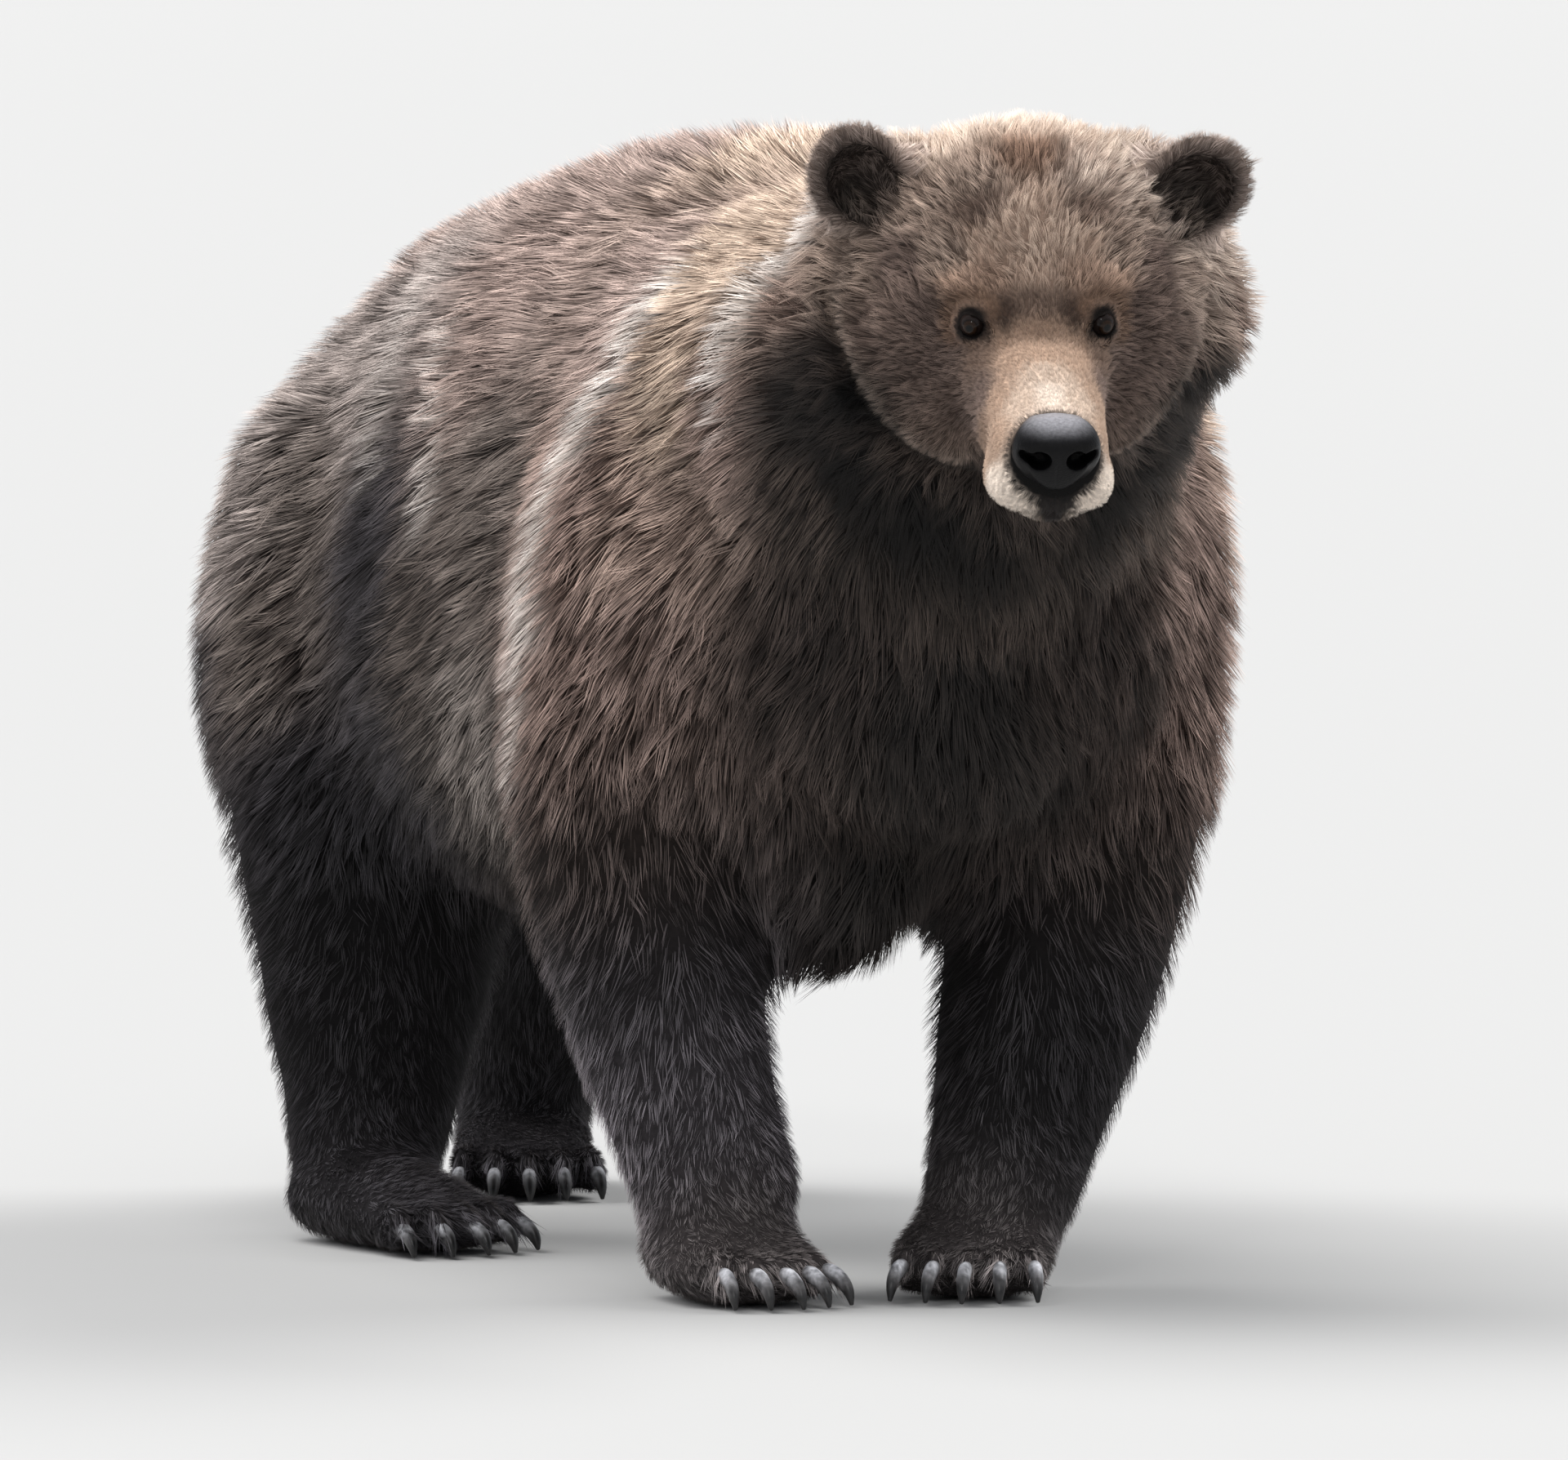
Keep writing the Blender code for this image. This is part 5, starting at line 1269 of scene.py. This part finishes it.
def make_nose(material):
    pad = nose_pad("nose_base", 48, 6, nostrils=0, dome=(0.3, 0.62, 0.95, 1.25))
    blended(pad, 0.0016, 6)
    h = head_place()
    for s in (-1, 1):
        # a round opening below, with its slit sweeping out and up at the side
        for at, r, turn in (((0.0190 * s, -0.231, -0.051), (0.0120, 0.0220, 0.0110), (0, 20 * s, 0)),
                            ((0.0285 * s, -0.226, -0.049), (0.0140, 0.0200, 0.0060), (0, -22 * s, 0))):
            bm = bmesh.new()
            ball(bm, at, r, turn, place=h, rings=18)
            pad = carve(pad, [to_object(bm, "hollow")])
    bm = bmesh.new()
    ball(bm, (0, -0.230, -0.083), (0.0014, 0.0070, 0.026), place=h, rings=18)
    pad = carve(pad, [to_object(bm, "groove")])
    blended(pad, 0.0016, 3)
    V, F, N = arrays(pad)
    bpy.data.objects.remove(pad)
    q = to_head(V)
    low = smooth(-q[:, 2], 0.050, 0.092) * smooth(-q[:, 1], 0.190, 0.205)
    pinch = np.column_stack([-0.20 * q[:, 0] * low, np.zeros((len(q), 2))])
    flat = smooth(q[:, 2], -0.034, -0.012) * smooth(np.abs(q[:, 0]), 0.030, 0.012)
    pinch[:, 2] -= 0.0030 * flat
    pinch[:, 1] += 0.0016 * np.exp(-(q[:, 0] / 0.0022) ** 2) * smooth(-q[:, 2], 0.040, 0.058)
    V = V + pinch @ HEAD_M[:3, :3].T
    nz = (N @ HEAD_M[:3, :3])[:, 2]
    # painted shade: the leather is darkened inside each nostril
    nostril_shade = np.zeros(len(V))
    for s in (-1, 1):
        nostril_shade = np.maximum(nostril_shade, np.exp(-(np.linalg.norm((q - (0.0195 * s, -0.217, -0.050)) / (0.013, 0.013, 0.012), axis=1)) ** 2))
    wide = np.clip(nostril_shade * 1.8, 0, 1)
    # painted highlight: the top of the pad, most where it faces up, is painted pale blue-grey
    top = smooth(q[:, 2], -0.036, -0.010) ** 1.8 * (0.3 + 0.7 * smooth(nz, -0.3, 0.9)) * (1 - wide)
    col = np.array((0.0042, 0.0040, 0.0044)) * (1 - 0.9 * wide)[:, None] + np.array((0.235, 0.232, 0.250)) * top[:, None]
    obj = mesh_from("nose_leather", V + SHIFT, F, colour=col)
    obj.data.materials.append(material)
    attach(obj, "root")
    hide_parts("nose")


def make_claws(material):
    toe_ways = {"claw_%s_%d" % (name, k + 3): (math.sin(math.radians(q)), -math.cos(math.radians(q)))
                for name, k, p, q, size in toe_places()}
    for name, claw in claws().items():
        V, F, N = arrays(claw)
        bpy.data.objects.remove(claw)
        side = np.array([-toe_ways[name][1], toe_ways[name][0], 0.0])
        V = V - 0.14 * ((V - V.mean(0)) @ side)[:, None] * side          # worn a little narrower
        reach = V @ np.array([toe_ways[name][0], toe_ways[name][1], 0.0])
        t = (reach - reach.min()) / (reach.max() - reach.min())      # 0 in the toe, 1 at the tip
        across = (V - V.mean(0)) @ np.array([-toe_ways[name][1], toe_ways[name][0], 0.0])
        streak = 0.62 * waves(np.column_stack([across * 1.0, reach * 0.05, V[:, 2] * 0.12]), 0.0030, 5) + 0.2 * waves(V, 0.02, 6)
        # the silver band is partly the claw's own pale colour, partly painted highlight, strongest where the claw faces
        # up
        silver_and_highlight = np.exp(-((t - 0.60) / 0.20) ** 2) * (0.30 + 0.70 * smooth(N[:, 2], -0.2, 0.9))
        worn = smooth(waves(V, 0.016, 9) + 0.5 * waves(V, 0.006, 10), 0.10, 0.75)
        col = (np.array((0.060, 0.055, 0.054)) + np.array((0.50, 0.51, 0.55)) * silver_and_highlight[:, None]) * (1 + 0.42 * streak)[:, None]
        col = col * (1 - 0.62 * worn)[:, None] * (1 - 0.75 * smooth(t, 0.82, 1.0))[:, None] * (0.55 if "hind" in name else 1.0)
        obj = mesh_from("horn_" + name, V + SHIFT, F, colour=col)
        obj.data.materials.append(material)
        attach(obj, "root")
        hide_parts(name)


# ==================================================================== build
lo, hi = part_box("eye_left")
centre_cad = (np.array(lo) + np.array(hi)) / 2
SHIFT = centre_cad - (HEAD_M[:3, 3] + HEAD_M[:3, :3] @ np.array(EYE_AT))
print("shift", SHIFT.round(5), flush=True)
import time
t0 = time.time()


def clock(what):
    print("%-18s %.1f s" % (what, time.time() - t0), flush=True)


skin_v, skin_f = make_skin()
clock("skin")
skin_n = normals_of(skin_v, skin_f)
lie, base, tip, depth, length = field(skin_v)
# painted shade: under the long coat the skin is darkened to under half the under colour, so the gaps between hairs read
# as deep shadow
skin_col = base * 0.42
bare = smooth(-depth, -0.0065, -0.003)[:, None]      # short coat: the skin carries more of its colour
skin_col = skin_col * (1 - bare) + (base * 0.72 + tip * 0.22) * bare
skin_obj = mesh_from("skin", skin_v + SHIFT, skin_f, colour=skin_col)
skin_uv = unwrap(skin_obj)
clock("unwrap")
skin_obj.data.materials.append(skin_material())
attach(skin_obj, "root")
flesh = [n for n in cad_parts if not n.startswith(("claw", "eye")) and n != "nose"]
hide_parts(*flesh)
bvh = BVHTree.FromPolygons([tuple(v) for v in skin_v.tolist()], [tuple(f) for f in skin_f.tolist()])
clock("bvh")

mids = skin_v[skin_f].mean(1)
f_len = field(mids)[4]
h = to_head(mids)
eye_d = np.sqrt((np.abs(h[:, 0]) - EYE_AT[0]) ** 2 + (h[:, 1] - EYE_AT[1]) ** 2 + (h[:, 2] - EYE_AT[2]) ** 2)
nose_d = np.linalg.norm((h - (0, -0.200, -0.054)) / (0.046, 0.040, 0.043), axis=1)
bald = (eye_d < 0.0150) | (nose_d < 1.0)
toes_near = np.zeros(len(mids))
for _, _, p, q, _ in toe_places():
    d = np.array((math.sin(math.radians(q)), -math.cos(math.radians(q)), 0))
    toes_near = np.maximum(toes_near, np.exp(-(np.linalg.norm(mids - (np.array(p) + d * 0.020 + (0, 0, 0.012)), axis=1) / 0.024) ** 2))
on_head = 1 - smooth(np.linalg.norm(h - (0, 0.03, -0.01), axis=1), 0.22, 0.32)
sole = mids[:, 2] < 0.004
is_long = f_len > 0.040
fine = on_head > 0.25
long_width = lambda s: np.clip(0.042 * s, 0.0012, 0.0021)
short_width = lambda s: np.clip(0.042 * s, 0.0007, 0.0017)
face_width = lambda s: np.clip(0.031 * s, 0.00046, 0.00086)
w_head = np.where(fine & ~bald, 1 / (f_len * face_width(f_len)) ** 0.85, 0)
w_long = np.where(is_long & ~fine & ~sole, 1 / (f_len * long_width(f_len)), 0)
w_short = np.where(~is_long & ~fine & ~sole, 1 / (f_len * short_width(f_len)) ** 0.9, 0) * (1 + 5 * toes_near)
coat_m = coat_material()
COATS = (  # name, number, weight, seed, bent, width, slot, hairs to a lock, lift, gather, swirl, tips
    ("coat_head", 122000, w_head, 303, False, face_width, "coat", 12, 0.52, 0.50, 0.30, 0.24),
    ("coat_long", 164000, w_long, 101, False, long_width, "coat", 8, 0.70, 0.42, 0.20, 0.36),
    ("coat_short", 88000, w_short, 202, False, short_width, "dark_coat", 7, 0.70, 0.42, 0.20, 0.36))
for name, number, weight, seed, bent, width, slot, per, lift, gathered, swirl, varied in COATS:
    P, N, UV, rng = roots(skin_v, skin_f, skin_uv, skin_n, number // (1), weight, seed)
    blades = tufts(P, N, UV, rng, bvh, per, bent, width, lift, gathered, swirl, varied)
    clock(name)
    coat_pieces(name, blades, 198000, P[:, 1] + np.where(P[:, 2] < 0.6, 5, 0) * (name == "coat_short"), coat_m)
clock("coat meshes")

eye_m = eye_material()
for side in ("left", "right"):
    make_eye(side, eye_m)
make_nose(nose_material())
CLAW_RING, CLAW_STEPS, CLAW_DOME = 16, 4, (0.3, 0.62, 0.95, 1.25)
make_claws(horn_material())
clock("eyes nose claws")

# ==================================================================== floor, light, camera
bm = bmesh.new()
bmesh.ops.create_grid(bm, x_segments=2, y_segments=2, size=90)
floor = to_object(bm, "studio_floor")
m, n, s = new_material("studio_floor", 0.85, 0.2)
tex = n.nodes.new("ShaderNodeTexNoise")
tex.inputs["Scale"].default_value = 3.0
ramp = n.nodes.new("ShaderNodeMapRange")
ramp.inputs["To Min"].default_value, ramp.inputs["To Max"].default_value = 0.345, 0.375
n.links.new(tex.outputs["Fac"], ramp.inputs["Value"])
comb = n.nodes.new("ShaderNodeCombineColor")
for k in range(3):
    n.links.new(ramp.outputs["Result"], comb.inputs[k])
n.links.new(comb.outputs["Color"], s.inputs["Base Color"])
floor.data.materials.append(m)

world = bpy.data.worlds.new("studio")
bpy.context.scene.world = world
world.use_nodes = True
world.node_tree.nodes["Background"].inputs["Color"].default_value = (0.90, 0.94, 1.0, 1)
world.node_tree.nodes["Background"].inputs["Strength"].default_value = 0.50


def sun(name, towards, power, angle, colour=(1, 1, 1), glossy=False):
    l = bpy.data.lights.new(name, "SUN")
    l.energy, l.angle, l.color = power, math.radians(angle), colour
    o = bpy.data.objects.new(name, l)
    o.rotation_mode = "QUATERNION"
    o.rotation_quaternion = (-Vector(towards)).to_track_quat("-Z", "Y")
    o.location = Vector(towards).normalized() * 8
    o.visible_glossy = glossy
    bpy.context.scene.collection.objects.link(o)


sun("overhead", (-0.30, 0.22, 1.0), 3.35, 50, (1.0, 0.985, 0.965))
sun("back_left", (-0.9, 0.85, 0.65), 1.9, 30, (1.0, 0.99, 0.98))
sun("side", (1.0, 0.05, 0.90), 3.1, 38, (1.0, 0.99, 0.97))
sun("front", (-0.35, -1.0, 0.55), 0.38, 60, (1.0, 0.99, 0.97))
sun("key", (-0.55, -1.0, 0.95), 0.30, 7, (1.0, 0.99, 0.97), True)

VIEW_AZ, VIEW_EL, VIEW_DIST = math.radians(-23.0), math.radians(4.0), 24.0
PPM = 1200.0                     # how large a metre stands in the 1920 wide frame
back = Vector((math.sin(VIEW_AZ) * math.cos(VIEW_EL), -math.cos(VIEW_AZ) * math.cos(VIEW_EL), math.sin(VIEW_EL)))
right = (-back).cross(Vector((0, 0, 1))).normalized()
up = right.cross(-back)
at = (Vector((0, -0.17, 0)) + Vector(SHIFT) + back * VIEW_DIST
      - right * ((1055 - 960) / PPM) + up * ((1600 - 894) / PPM))
cam = bpy.data.cameras.new("camera")
cam.sensor_width = 36
cam.lens = PPM * VIEW_DIST * 36 / 1920
cam.clip_end = 300
co = bpy.data.objects.new("camera", cam)
co.matrix_world = Matrix(((right.x, up.x, back.x, at.x), (right.y, up.y, back.y, at.y),
                          (right.z, up.z, back.z, at.z), (0, 0, 0, 1)))
bpy.context.scene.collection.objects.link(co)
bpy.context.scene.camera = co
bpy.context.scene.view_settings.view_transform = "Standard"

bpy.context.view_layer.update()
clock("done")
